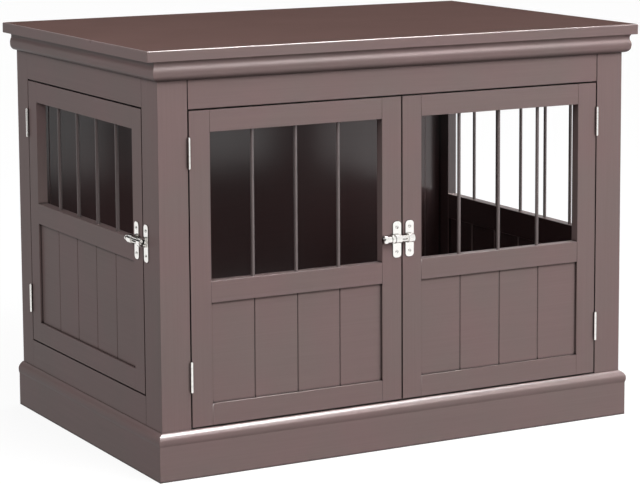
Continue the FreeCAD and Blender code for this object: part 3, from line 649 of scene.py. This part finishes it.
def moulding_run(name, section, ends, mitred, mitre):
    """Runs a section between two ends; each end has two functions that turn how far a point of
    the section stands out into its X and its Y."""
    bm = bmesh.new()
    loops = [[bm.verts.new((x(out), y(out), up)) for out, up in section] for x, y in ends]
    count = len(section)
    for i in range(count):
        j = (i + 1) % count
        bm.faces.new((loops[0][i], loops[0][j], loops[1][j], loops[1][i]))
    layer = bm.edges.layers.float.new("bevel_weight_edge")
    for loop, is_mitred in zip(loops, mitred):
        for edge in bm.faces.new(loop).edges:
            outer = any(v in loop[2:-1] for v in edge.verts)
            edge[layer] = 1.0 if is_mitred and outer else 0.0
    return rounded(object_from(bm, name), mitre, 1)


class CRATE_OT_mouldings(bpy.types.Operator):
    """Runs the cornice and the skirting round the front and the sides"""
    bl_idname = "crate.mouldings"
    bl_label = "Cornice and skirting"

    def execute(self, context):
        sizes = context.scene.crate_moulding
        (_, inner), (outer, _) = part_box("cornice_left"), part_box("cornice_right")
        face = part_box("cornice_front")[1].y
        left, right = lambda out: inner.x - out, lambda out: outer.x + out
        front, rear = lambda out: face - out, lambda out: inner.y
        ends = {"front": ((left, front), (right, front)), "left": ((left, front), (left, rear)),
                "right": ((right, front), (right, rear))}
        for seed, (kind, section_of) in enumerate((("cornice", cornice_section),
                                                   ("plinth", plinth_section))):
            low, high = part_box(kind + "_front")
            section = section_of(sizes, low.z, high.z)
            for side, pair in ends.items():
                node = f"{kind}_{side}"
                piece = moulding_run(node + "_wood", section, pair, (True, side == "front"),
                                     sizes.mitre)
                lay_grain(piece.data, MOULDING_SEED + seed)
                place(piece, node, "painted_wood", finish_of("satin_paint_on_wood"))
        return {"FINISHED"}


# ---------------------------------------------------------------- what repeats, by Geometry Nodes
def new_tree(name, sizes, sums):
    """Geometry Nodes tree that works on points, and its inputs by name. sizes are the inputs with
    their defaults; sums are sizes worked out in the tree, each (name, operation, one, two) from
    numbers and earlier names."""
    tree = bpy.data.node_groups.new(name, "GeometryNodeTree")
    face = tree.interface
    for way in ("INPUT", "OUTPUT"):
        face.new_socket("Geometry", in_out=way, socket_type="NodeSocketGeometry")
    for label, default in {**sizes, "Sides": GROWN_SIDES, "Finish": None}.items():
        kind = {float: "Float", int: "Int"}.get(type(default), "Material")
        socket = face.new_socket(label, in_out="INPUT", socket_type="NodeSocket" + kind)
        if default is not None:
            socket.default_value = default
    size = {socket.name: socket for socket in add(tree, "NodeGroupInput").outputs}
    for label, operation, one, two in sums:
        terms = {0: size.get(one, one), 1: size.get(two, two)}
        size[label] = add(tree, MATH, terms, operation=operation).outputs[0]
    return tree, size


def end_tree(tree, size, instance):
    """Sets the instance on each point, turned as the point says, and closes the tree."""
    turn = add(tree, "GeometryNodeInputNamedAttribute", {"Name": "turn"}, data_type="FLOAT_VECTOR")
    spin = add(tree, "FunctionNodeEulerToRotation", {"Euler": turn.outputs["Attribute"]})
    spread = add(tree, "GeometryNodeInstanceOnPoints", {
        "Points": size["Geometry"], "Instance": instance, "Rotation": spin})
    real = add(tree, "GeometryNodeRealizeInstances", {"Geometry": spread})
    done = add(tree, "GeometryNodeSetMaterial", {"Geometry": real, "Material": size["Finish"]})
    add(tree, "NodeGroupOutput", {"Geometry": done})
    return tree


def grown(name, tree, points, values):
    """Grows a tree on points, each (place, turn), and gives the plain mesh of the result."""
    mesh = bpy.data.meshes.new(name)
    mesh.from_pydata([at for at, _ in points], [], [])
    layer = mesh.attributes.new("turn", "FLOAT_VECTOR", "POINT")
    for (_, turn), item in zip(points, layer.data):
        item.vector = turn
    piece = new_object(name, mesh)
    modifier = piece.modifiers.new("grow", "NODES")
    modifier.node_group = tree
    for item in tree.interface.items_tree:
        if item.in_out == "INPUT" and item.name in values:
            modifier[item.identifier] = values[item.name]
    piece = applied(piece)
    if not piece.data.polygons:
        raise RuntimeError(f"{name} grew no faces")
    shaded(piece.data, GROWN_SHARP)
    return piece


BAR_EASE = 0.15      # how much slimmer a bar's end is, and how far back, in shares of its radius


def bar_tree():
    """A round bar with eased ends, standing on each point."""
    tree, size = new_tree("window_bar", {"Radius": 0.003, "Length": 0.2}, (
        ("Ease", "MULTIPLY", "Radius", BAR_EASE), ("Upper", "SUBTRACT", "Length", "Ease")))
    tall, low, high = (add(tree, COMBINE, {"Z": size[z]}) for z in ("Length", "Ease", "Upper"))
    line = add(tree, "GeometryNodeCurvePrimitiveLine", {"End": tall})
    ring = add(tree, "GeometryNodeCurvePrimitiveCircle", {
        "Resolution": size["Sides"], "Radius": size["Radius"]})
    # the ends are filed back: a ring in from each end, and the end itself drawn in
    spine = add(tree, "GeometryNodeResampleCurve", {"Curve": line, "Count": 4})
    index = add(tree, "GeometryNodeInputIndex")
    inner = []
    for number, spot in ((1, low), (2, high)):
        inner.append(add(tree, "FunctionNodeCompare", {2: index, 3: number}, data_type="INT",
                         operation="EQUAL"))
        spine = add(tree, "GeometryNodeSetPosition", {
            "Geometry": spine, "Selection": inner[-1], "Position": spot})
    middle = add(tree, "FunctionNodeBooleanMath", dict(enumerate(inner)), operation="OR")
    slim = add(tree, "GeometryNodeSwitch", {"Switch": middle, "False": 1 - BAR_EASE, "True": 1.0},
               input_type="FLOAT")
    thick = add(tree, "GeometryNodeSetCurveRadius", {"Curve": spine, "Radius": slim})
    bar = add(tree, "GeometryNodeCurveToMesh", {
        "Curve": thick, "Profile Curve": ring, "Scale": slim, "Fill Caps": True})
    return end_tree(tree, size, bar)


class CRATE_OT_bars(bpy.types.Operator):
    """Stands the round bars in the four windows"""
    bl_idname = "crate.bars"
    bl_label = "Window bars"

    def execute(self, context):
        tree = bar_tree()
        radius = context.scene.crate_steel.bar_radius
        enamel = finish_of("stoved_enamel")
        for node, count in (("left_door_bars", 3), ("right_door_bars", 3), ("side_door_bars", 4),
                            ("right_window_bars", 5)):
            low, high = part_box(node)
            run = 0 if high.x - low.x > high.y - low.y else 1
            reach = (high[run] - low[run]) / 2 - radius
            points = []
            for i in range(count):
                at = (low + high) / 2
                at[run] += reach * (2 * i / (count - 1) - 1)
                at.z = low.z
                points.append((at, (0, 0, 0)))
            piece = grown(node + "_steel", tree, points, {
                "Radius": radius, "Length": high.z - low.z, "Finish": enamel})
            place(piece, node, "bar_enamel", enamel)
        return {"FINISHED"}


def screw_tree():
    """A wood screw with a cross recess; +Z points out of the wood and z = 0 is where it bears."""
    tree, size = new_tree("cross_screw", {
        "Head Radius": 0.003, "Head Height": 0.0018, "Dome": 0.8, "Shank Radius": 0.0014,
        "Length": 0.014, "Point": 0.003, "Cross": 0.0036, "Slot": 0.0008, "Recess": 0.0009}, (
        ("Half", "MULTIPLY", "Head Height", 0.5), ("Sag", "MULTIPLY", "Dome", "Head Height"),
        ("Drop", "MULTIPLY", "Sag", -1.0), ("Straight", "SUBTRACT", "Length", "Point"),
        ("Middle", "MULTIPLY", "Straight", -0.5),
        # the shank starts a little inside the head, and the point inside the shank and a little
        # slimmer, so that they join and no two walls lie in one surface
        ("Shank", "ADD", "Middle", 0.2 * MM), ("End", "MULTIPLY", "Straight", -1.0),
        ("Tip", "ADD", "End", 0.3 * MM), ("Slim", "MULTIPLY", "Shank Radius", 0.93),
        ("Deep", "MULTIPLY", "Recess", 2.0)))
    middle, shank_at, tip_at, crown = (add(tree, COMBINE, {"Z": size[z]})
                                       for z in ("Half", "Shank", "Tip", "Head Height"))
    # the head is a disc whose upper face is lowered by r^2 of its dome
    disc = add(tree, "GeometryNodeMeshCylinder", {
        "Vertices": size["Sides"], "Side Segments": 1, "Fill Segments": 6,
        "Radius": size["Head Radius"], "Depth": size["Head Height"]})
    disc = add(tree, TRANSFORM, {"Geometry": disc, "Translation": middle})
    where = add(tree, "GeometryNodeInputPosition")
    height = add(tree, "ShaderNodeSeparateXYZ", {0: where}).outputs[2]
    flat = add(tree, VECTOR, {0: where, 1: (1, 1, 0)}, operation="MULTIPLY")
    fall = add(tree, VECTOR, {0: flat}, operation="LENGTH").outputs["Value"]
    for operation, other in (
            ("DIVIDE", size["Head Radius"]), ("POWER", 2.0), ("MULTIPLY", size["Drop"])):
        fall = add(tree, MATH, {0: fall, 1: other}, operation=operation)
    upper = add(tree, "FunctionNodeCompare", {0: height, 1: size["Half"]},
                operation="GREATER_THAN", data_type="FLOAT")
    head = add(tree, "GeometryNodeSetPosition", {
        "Geometry": disc, "Selection": upper, "Offset": add(tree, COMBINE, {"Z": fall})})
    shank = add(tree, "GeometryNodeMeshCylinder", {
        "Vertices": size["Sides"], "Radius": size["Shank Radius"], "Depth": size["Straight"]})
    shank = add(tree, TRANSFORM, {"Geometry": shank, "Translation": shank_at})
    tip = add(tree, "GeometryNodeMeshCone", {
        "Vertices": size["Sides"], "Radius Top": 0.35 * MM, "Radius Bottom": size["Slim"],
        "Depth": size["Point"]})
    tip = add(tree, TRANSFORM, {
        "Geometry": tip, "Translation": tip_at, "Rotation": (math.pi, 0.0, 0.0)})
    whole = add(tree, "GeometryNodeMeshBoolean", {"Mesh 2": [head, shank, tip]},
                operation="UNION", solver="EXACT")
    # the cross is two crossed bars sunk into the crown
    arms = []
    for wide, tall in (("Cross", "Slot"), ("Slot", "Cross")):
        extent = add(tree, COMBINE, {"X": size[wide], "Y": size[tall], "Z": size["Deep"]})
        arm = add(tree, "GeometryNodeMeshCube", {"Size": extent})
        arms.append(add(tree, TRANSFORM, {"Geometry": arm, "Translation": crown}))
    recess = add(tree, "GeometryNodeMeshBoolean", {"Mesh 1": whole, "Mesh 2": arms},
                 operation="DIFFERENCE", solver="EXACT")
    return end_tree(tree, size, recess)


def pin_tree():
    """A hinge pin with a low domed head at each end, its middle on each point."""
    tree, size = new_tree("hinge_pin", {
        "Radius": 0.0011, "Head Radius": 0.0019, "Head Height": 0.0008, "Length": 0.05}, (
        ("Above", "MULTIPLY", "Length", 0.5), ("Below", "MULTIPLY", "Above", -1.0),
        ("Rim", "MULTIPLY", "Head Radius", 0.72)))
    parts = [add(tree, "GeometryNodeMeshCylinder", {
        "Vertices": size["Sides"], "Radius": size["Radius"], "Depth": size["Length"]})]
    cap = add(tree, "GeometryNodeMeshCone", {
        "Vertices": size["Sides"], "Radius Top": size["Rim"], "Radius Bottom": size["Head Radius"],
        "Depth": size["Head Height"], "Side Segments": 2})
    # the cone stands on its base, so it is turned over for the lower end
    for end, turn in (("Above", 0.0), ("Below", math.pi)):
        seat = add(tree, COMBINE, {"Z": size[end]})
        parts.append(add(tree, TRANSFORM, {
            "Geometry": cap, "Translation": seat, "Rotation": (turn, 0.0, 0.0)}))
    whole = add(tree, "GeometryNodeMeshBoolean", {"Mesh 2": parts}, operation="UNION",
                solver="EXACT")
    return end_tree(tree, size, whole)


def clusters(node):
    """Boxes of the separate solids of a CAD node."""
    bm = bmesh.new()
    bm.from_mesh(NODES[node].data)
    bmesh.ops.remove_doubles(bm, verts=bm.verts, dist=WELD / 2)
    todo, found = set(bm.verts), []
    while todo:
        front, island = [todo.pop()], []
        while front:
            vert = front.pop()
            island.append(vert.co.copy())
            near = {edge.other_vert(vert) for edge in vert.link_edges} & todo
            todo -= near
            front += near
        found.append(tuple(Vector([pick(p[i] for p in island) for i in range(3)])
                           for pick in (min, max)))
    bm.free()
    return sorted(found, key=lambda pair: tuple(round(c, 5) for c in pair[0]))


# By axis, the turns that bring +Z out of the wood towards the axis's upper and its lower end
OUTWARD = (((0.0, math.pi / 2, 0.0), (0.0, -math.pi / 2, 0.0)),
           ((-math.pi / 2, 0.0, 0.0), (math.pi / 2, 0.0, 0.0)))
DOMED, LEVEL = 0.8, 0.05      # how much of its height a domed and a sunk head's crown falls
SUNK_CROSS = 0.8      # a sunk head's recess against a domed head's
# By axis, where the door gaps are, which the hinge screws' heads lie nearer to
GAPS = ((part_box("left_door_hinge_leaves")[0].x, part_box("right_door_hinge_leaves")[1].x),
        (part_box("side_door_hinge_leaves")[1].y,))


def screw_place(low, high, steel):
    """Where a screw bears, how it is turned, and whether its head is domed, by its solid's box."""
    span = high - low
    axis = max(range(3), key=lambda i: span[i])
    domed = min(span) > 2 * steel.pan_head - 0.3 * MM
    # a domed head stands on a plate, at the lower end; a sunk head lies in a leaf at the door gap
    off = [min(abs(end[axis] - gap) for gap in GAPS[axis]) for end in (low, high)]
    at_low = domed or off[0] < off[1]
    head = steel.pan_height if domed else steel.sunk_height
    at = (low + high) / 2
    at[axis] = low[axis] + head if at_low else high[axis] - head
    return (at, OUTWARD[axis][at_low]), domed


class CRATE_OT_screws(bpy.types.Operator):
    """Drives the screws of the hinges and the latch plates"""
    bl_idname = "crate.screws"
    bl_label = "Screws"

    def execute(self, context):
        steel = context.scene.crate_steel
        tree = screw_tree()
        nickel = finish_of("bright_nickel_plate")
        labels = ("Head Radius", "Head Height", "Dome", "Length", "Cross", "Recess")
        kinds = {True: (steel.pan_head, steel.pan_height, DOMED, steel.screw, steel.cross,
                        steel.recess),
                 False: (steel.sunk_head, steel.sunk_height, LEVEL,
                         steel.screw - steel.sunk_height, steel.cross * SUNK_CROSS,
                         steel.sunk_recess)}
        shared = {"Shank Radius": steel.shank, "Point": steel.tip, "Slot": steel.slot,
                  "Finish": nickel}
        for node in [f"{door}_screws" for door in DOORS] + ["frame_screws"]:
            found = [screw_place(low, high, steel) for low, high in clusters(node)]
            bm = bmesh.new()
            for domed, sizes in kinds.items():
                some = grown("screws", tree, [where for where, kind in found if kind == domed],
                             {**shared, **dict(zip(labels, sizes))})
                bm.from_mesh(some.data)
                bpy.data.objects.remove(some)
            mesh = bpy.data.meshes.new(node + "_steel")
            bm.to_mesh(mesh)
            bm.free()
            shaded(mesh, GROWN_SHARP)
            place(new_object(node + "_steel", mesh), node, "plated_steel", nickel)
        return {"FINISHED"}


class CRATE_OT_hinges(bpy.types.Operator):
    """Makes the six butt hinges: leaves with knuckles, and pins"""
    bl_idname = "crate.hinges"
    bl_label = "Hinges"

    def execute(self, context):
        steel = context.scene.crate_steel
        nickel = finish_of("bright_nickel_plate")
        for node in [f"{door}_hinge_leaves" for door in DOORS] + ["hinge_frame_leaves"]:
            piece = rounded(copied(node, node + "_steel"), steel.leaf_ease, 2, weighted=False)
            place(piece, node, "plated_steel", nickel)
        pins = clusters("hinge_pins")
        low, high = pins[0]
        middles = [((one + two) / 2, (0, 0, 0)) for one, two in pins]
        piece = grown("hinge_pins_steel", pin_tree(), middles, {
            "Radius": steel.pin_radius, "Head Radius": steel.pin_head,
            "Head Height": steel.pin_head_height, "Finish": nickel,
            "Length": high.z - low.z - 2 * steel.pin_head_height})
        place(piece, "hinge_pins", "plated_steel", nickel)
        return {"FINISHED"}


# A knob's end, in shares of its radius: its flat, how far back its rounding runs, and its bow
KNOB_FLAT, KNOB_BACK, KNOB_BOW = 0.45, 0.6, 0.16
# Off a barrel's axis: its plate, the outside, and half of a box that holds it
TO_PLATE, OUTSIDE, HALF_BOX = 6.2 * MM, 12 * MM, 9 * MM
GROOVE_FROM, GROOVE_TO = 0.5 * MM, 2.1 * MM      # inside and outside of its groove, off the bolt


class CRATE_OT_latches(bpy.types.Operator):
    """Makes the two barrel bolts: housings, keepers and sliding bolts"""
    bl_idname = "crate.latches"
    bl_label = "Latches"

    def execute(self, context):
        steel = context.scene.crate_steel
        nickel = finish_of("bright_nickel_plate")
        # run goes from the knob to the nose of the bolt, out goes away from the door
        for latch, run, out, knob, neck, set_in, tail in (
                ("front", Vector((1, 0, 0)), Vector((0, -1, 0)),
                 steel.knob_radius, steel.bolt_radius, 0, 0),
                ("side", Vector((0, -1, 0)), Vector((-1, 0, 0)),
                 steel.side_knob, steel.side_neck, steel.side_set_in, steel.side_tail)):
            low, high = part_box(f"{latch}_latch_bolt")
            middle, reach = (low + high) / 2, (high - low).dot(Vector(map(abs, run))) / 2
            knob_end = middle - run * reach

            def beside(along, off, up):
                return knob_end + run * along + out * off + Vector((0, 0, up))

            def spot(along, radius, angle):
                return beside(along, radius * math.cos(angle), radius * math.sin(angle))

            def ends_of(node):
                return sorted((corner - knob_end).dot(run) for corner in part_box(node))

            shaft, nose, ease = steel.bolt_radius, 2 * reach, steel.nose_ease
            share = knob / steel.knob_radius
            back = set_in + steel.knob_length * share
            shoulder = ends_of(f"{latch}_latch_housing")[0] + steel.shoulder
            flat = (set_in, knob * KNOB_FLAT)
            section = ([(set_in, 0), flat]
                       + arc(flat, (set_in + knob * KNOB_BACK, knob), -knob * KNOB_BOW, 8)
                       + [(back - steel.knob_ease, knob), (back, knob - steel.knob_ease),
                          (back, neck)]
                       + ([(shoulder, neck), (shoulder, shaft)] if neck < shaft else [])
                       + [(nose - ease, shaft), (nose, shaft - ease), (nose, 0)])
            bolt = turned(f"{latch}_latch_bolt_steel", section, spot)
            arm, half = steel.knob_cross / 2 * share, steel.slot / 2
            tools = [block("arm", beside(-MM, -a, -b), beside(set_in + steel.recess, a, b))
                     for a, b in ((arm, half), (half, arm))]
            half = steel.keyway / 2
            tools.append(block(
                "keyway", beside(nose - steel.keyway_run, shaft - steel.keyway_depth, -half),
                beside(nose + MM, shaft + MM, half)))
            place(smoothed(cut(bolt, tools)), f"{latch}_latch_bolt", "plated_steel", nickel)

            for part in ("housing", "keeper"):
                node = f"{latch}_latch_{part}"
                start, end = ends_of(node)
                # both loops are shorter than their plates are wide
                tools = [block("end", beside(end - steel.loop_short, -TO_PLATE, -HALF_BOX),
                               beside(end + MM, OUTSIDE, HALF_BOX))]
                if part == "housing" and tail:
                    tools.append(block("tail", beside(start - MM, -HALF_BOX, -HALF_BOX),
                                       beside(start + tail, OUTSIDE, HALF_BOX)))
                elif part == "housing":
                    # a turned groove sets the barrel's tail off from the loop on the plate
                    near = end - steel.plate_width - steel.groove_set
                    far = near + steel.groove
                    inner, outer = shaft + GROOVE_FROM, shaft + GROOVE_TO
                    ring = [(near, inner), (near, outer), (far, outer), (far, inner)]
                    tools.append(turned("groove", ring, spot, True))
                piece = cut(copied(node, node + "_steel"), tools)
                place(rounded(piece, steel.latch_ease, 3, weighted=False), node, "plated_steel",
                      nickel)
        return {"FINISHED"}


# ---------------------------------------------------------------- stage
EYE = Vector((-2.0376, -3.7867, 1.0781))
LOOK = Vector((0.48143, 0.86617, -0.13409)).normalized()
ROLL = -0.0042338
LENS, SENSOR, SHIFT = 136.13, 36.0, (-0.0476, -0.1617)
LATCH_UP = 0.37          # height of the latches, which the cards are seen from
FLOOR_HALF = 40.0      # half the width of the studio floor
SHOWN_GREY = 0.18      # what lamps add to the floor's own glow where it is looked at
CARD_BLACK = 0.01
# Each lamp's name, place, aim, width and height in metres, and whether gloss alone shows it;
# the others light the colour alone
LAMPS = (("sheen", (1.9, -3.1, 2.5), (0, -0.3, 0.4), 1.8, 2.0, True),
         ("glint", (0.9, -0.9, 3.2), (0, -0.3, 0.3), 2.4, 1.2, True),
         ("wash", (-1.5, -0.5, 1.3), (-0.45, 0, 0.45), 0.7, 0.7, False),
         ("high", (0.9, -3.0, 3.2), (0, -0.3, 0.35), 2.4, 1.4, False),
         ("key", (2.2, -2.4, 1.1), (0.1, -0.2, 0.4), 1.0, 1.0, False))
# Each black card's heading, lowest and highest angle and half width in degrees, and how far out it
# stands in metres: one for the side latch's barrel, one beside the camera for the screws, and one
# on the left for the flanks of screws and barrels
CARDS = ((119, 8, 26, 20, 6.0), (243, 10, 40, 12, 6.0), (205, -13, 30, 25, 1.6))


def softbox(name, at, to, width, height, on_gloss, energy):
    """Soft rectangular lamp that either draws highlights on gloss or only lights the colour."""
    lamp = bpy.data.lights.new(name, "AREA")
    lamp.shape = "RECTANGLE"
    lamp.size, lamp.size_y, lamp.energy = width, height, energy
    made = new_object(name, lamp)
    turn = (Vector(to) - Vector(at)).to_track_quat("-Z", "Y")
    made.matrix_world = Matrix.LocRotScale(Vector(at), turn, None)
    made.visible_diffuse, made.visible_glossy = not on_gloss, on_gloss
    if on_gloss:
        made.light_linking.receiver_collection = bpy.data.collections[GLOSS_TAKERS]


def black_card(name, heading, low, high, half, away, material):
    """Black card that only gloss shows, out in a heading, between two heights as angles."""
    way = Vector((math.cos(heading), math.sin(heading), 0))
    across = Vector((-way.y, way.x, 0)) * math.tan(half) * away
    bm = bmesh.new()
    corners = [way * away + side * across + Vector((0, 0, LATCH_UP + away * math.tan(up)))
               for side, up in ((-1, low), (1, low), (1, high), (-1, high))]
    bm.faces.new([bm.verts.new(corner) for corner in corners])
    card = object_from(bm, name)
    card.data.materials.append(material)
    card.visible_camera = card.visible_diffuse = card.visible_shadow = False
    card.visible_transmission = False


def dome_level(tree, studio):
    """Level of the dome in each direction: one level round the horizon plus what the front and
    the right add, fading to the overhead level."""
    way = add(tree, "ShaderNodeTexCoord").outputs["Generated"]
    level = studio.around
    for towards, extra in (((0, -1, 0), studio.front), ((1, 0, 0), studio.right)):
        facing = add(tree, VECTOR, {0: way, 1: towards}, operation="DOT_PRODUCT")
        lobe = add(tree, RANGE, {"Value": facing.outputs["Value"], "To Max": extra})
        level = add(tree, MATH, {0: lobe, 1: level}, operation="ADD")
    height = add(tree, "ShaderNodeSeparateXYZ", {0: way}).outputs[2]
    return add(tree, RANGE, {"Value": height, "To Min": level, "To Max": studio.overhead})


def plain_ray(tree):
    """1 for a ray from the camera, a reflection or a refraction, 0 for a diffuse bounce."""
    path = add(tree, "ShaderNodeLightPath").outputs
    some = path["Is Camera Ray"]
    for kind in ("Is Glossy Ray", "Is Transmission Ray"):
        some = add(tree, MATH, {0: some, 1: path[kind]}, operation="MAXIMUM")
    return some


def grey(level):
    return (level, level, level, 1)


class CRATE_OT_stage(bpy.types.Operator):
    """Sets the camera, the pale floor and the soft light"""
    bl_idname = "crate.stage"
    bl_label = "Stage"

    def execute(self, context):
        scene = context.scene
        studio = scene.crate_studio
        bpy.data.collections.new(GLOSS_TAKERS)
        camera = bpy.data.cameras.new("camera")
        camera.lens, camera.sensor_width = LENS, SENSOR
        camera.shift_x, camera.shift_y = SHIFT
        right = LOOK.cross(Vector((0, 0, 1))).normalized()
        up = right.cross(LOOK)
        across = right * math.cos(ROLL) + up * math.sin(ROLL)
        above = up * math.cos(ROLL) - right * math.sin(ROLL)
        scene.camera = new_object("camera", camera)
        scene.camera.matrix_world = Matrix([*zip(across, above, -LOOK, EYE), (0, 0, 0, 1)])
        scene.view_settings.view_transform = "Standard"

        bm = bmesh.new()
        bmesh.ops.create_grid(bm, x_segments=1, y_segments=1, size=FLOOR_HALF)
        floor = object_from(bm, "studio_floor")
        made = bpy.data.materials.new("pale_studio_floor")
        tree = bare_tree(made)
        bounce = add(tree, "ShaderNodeBsdfDiffuse", {"Color": (*scene.crate_finish.floor, 1)})
        glow = add(tree, "ShaderNodeEmission", {"Color": grey(1), "Strength": studio.floor_glow})
        shown = add(tree, "ShaderNodeBsdfDiffuse", {"Color": grey(SHOWN_GREY)})
        both = add(tree, "ShaderNodeAddShader", {0: glow, 1: shown})
        mix = add(tree, "ShaderNodeMixShader", {0: plain_ray(tree), 1: bounce, 2: both})
        add(tree, "ShaderNodeOutputMaterial", {"Surface": mix})
        floor.data.materials.append(made)

        scene.world = bpy.data.worlds.new("studio")
        tree = bare_tree(scene.world)
        dome, white = (add(tree, "ShaderNodeBackground", {"Color": grey(1), "Strength": strength})
                       for strength in (dome_level(tree, studio), 1.0))
        mix = add(tree, "ShaderNodeMixShader", {0: plain_ray(tree), 1: dome, 2: white})
        add(tree, "ShaderNodeOutputWorld", {"Surface": mix})

        for name, *form in LAMPS:
            softbox(name, *form, getattr(studio, name))
        black = bpy.data.materials.new("black_card")
        tree = bare_tree(black)
        dark = add(tree, "ShaderNodeBsdfDiffuse", {"Color": grey(CARD_BLACK)})
        add(tree, "ShaderNodeOutputMaterial", {"Surface": dark})
        for number, (*angles, away) in enumerate(CARDS, 1):
            black_card(f"card_{number}", *map(math.radians, angles), away, black)
        return {"FINISHED"}


# ---------------------------------------------------------------- panel and registration
STEPS = (CRATE_OT_stage, CRATE_OT_finishes, CRATE_OT_boards, CRATE_OT_tabletop,
         CRATE_OT_mouldings, CRATE_OT_bars, CRATE_OT_hinges, CRATE_OT_latches, CRATE_OT_screws)


class CRATE_PT_sidebar(bpy.types.Panel):
    """Lists the sizes, the colours and the steps"""
    bl_idname = "CRATE_PT_sidebar"
    bl_label = "Crate table"
    bl_space_type = "VIEW_3D"
    bl_region_type = "UI"
    bl_category = "Crate table"

    def draw(self, context):
        for group_name, group in GROUPS.items():
            held = getattr(context.scene, group_name)
            box = self.layout.box()
            for prop in group.__annotations__:
                box.prop(held, prop)
        for step in STEPS:
            self.layout.operator(step.bl_idname)


def register():
    for cls in (*GROUPS.values(), *STEPS, CRATE_PT_sidebar):
        bpy.utils.register_class(cls)
    for name, group in GROUPS.items():
        setattr(bpy.types.Scene, name, bpy.props.PointerProperty(type=group))


def unregister():
    for name in GROUPS:
        delattr(bpy.types.Scene, name)
    for cls in reversed((*GROUPS.values(), *STEPS, CRATE_PT_sidebar)):
        bpy.utils.unregister_class(cls)


def main():
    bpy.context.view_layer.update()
    register()
    for step in STEPS:
        group, name = step.bl_idname.split(".")
        getattr(getattr(bpy.ops, group), name)()


if __name__ == "__main__":
    main()
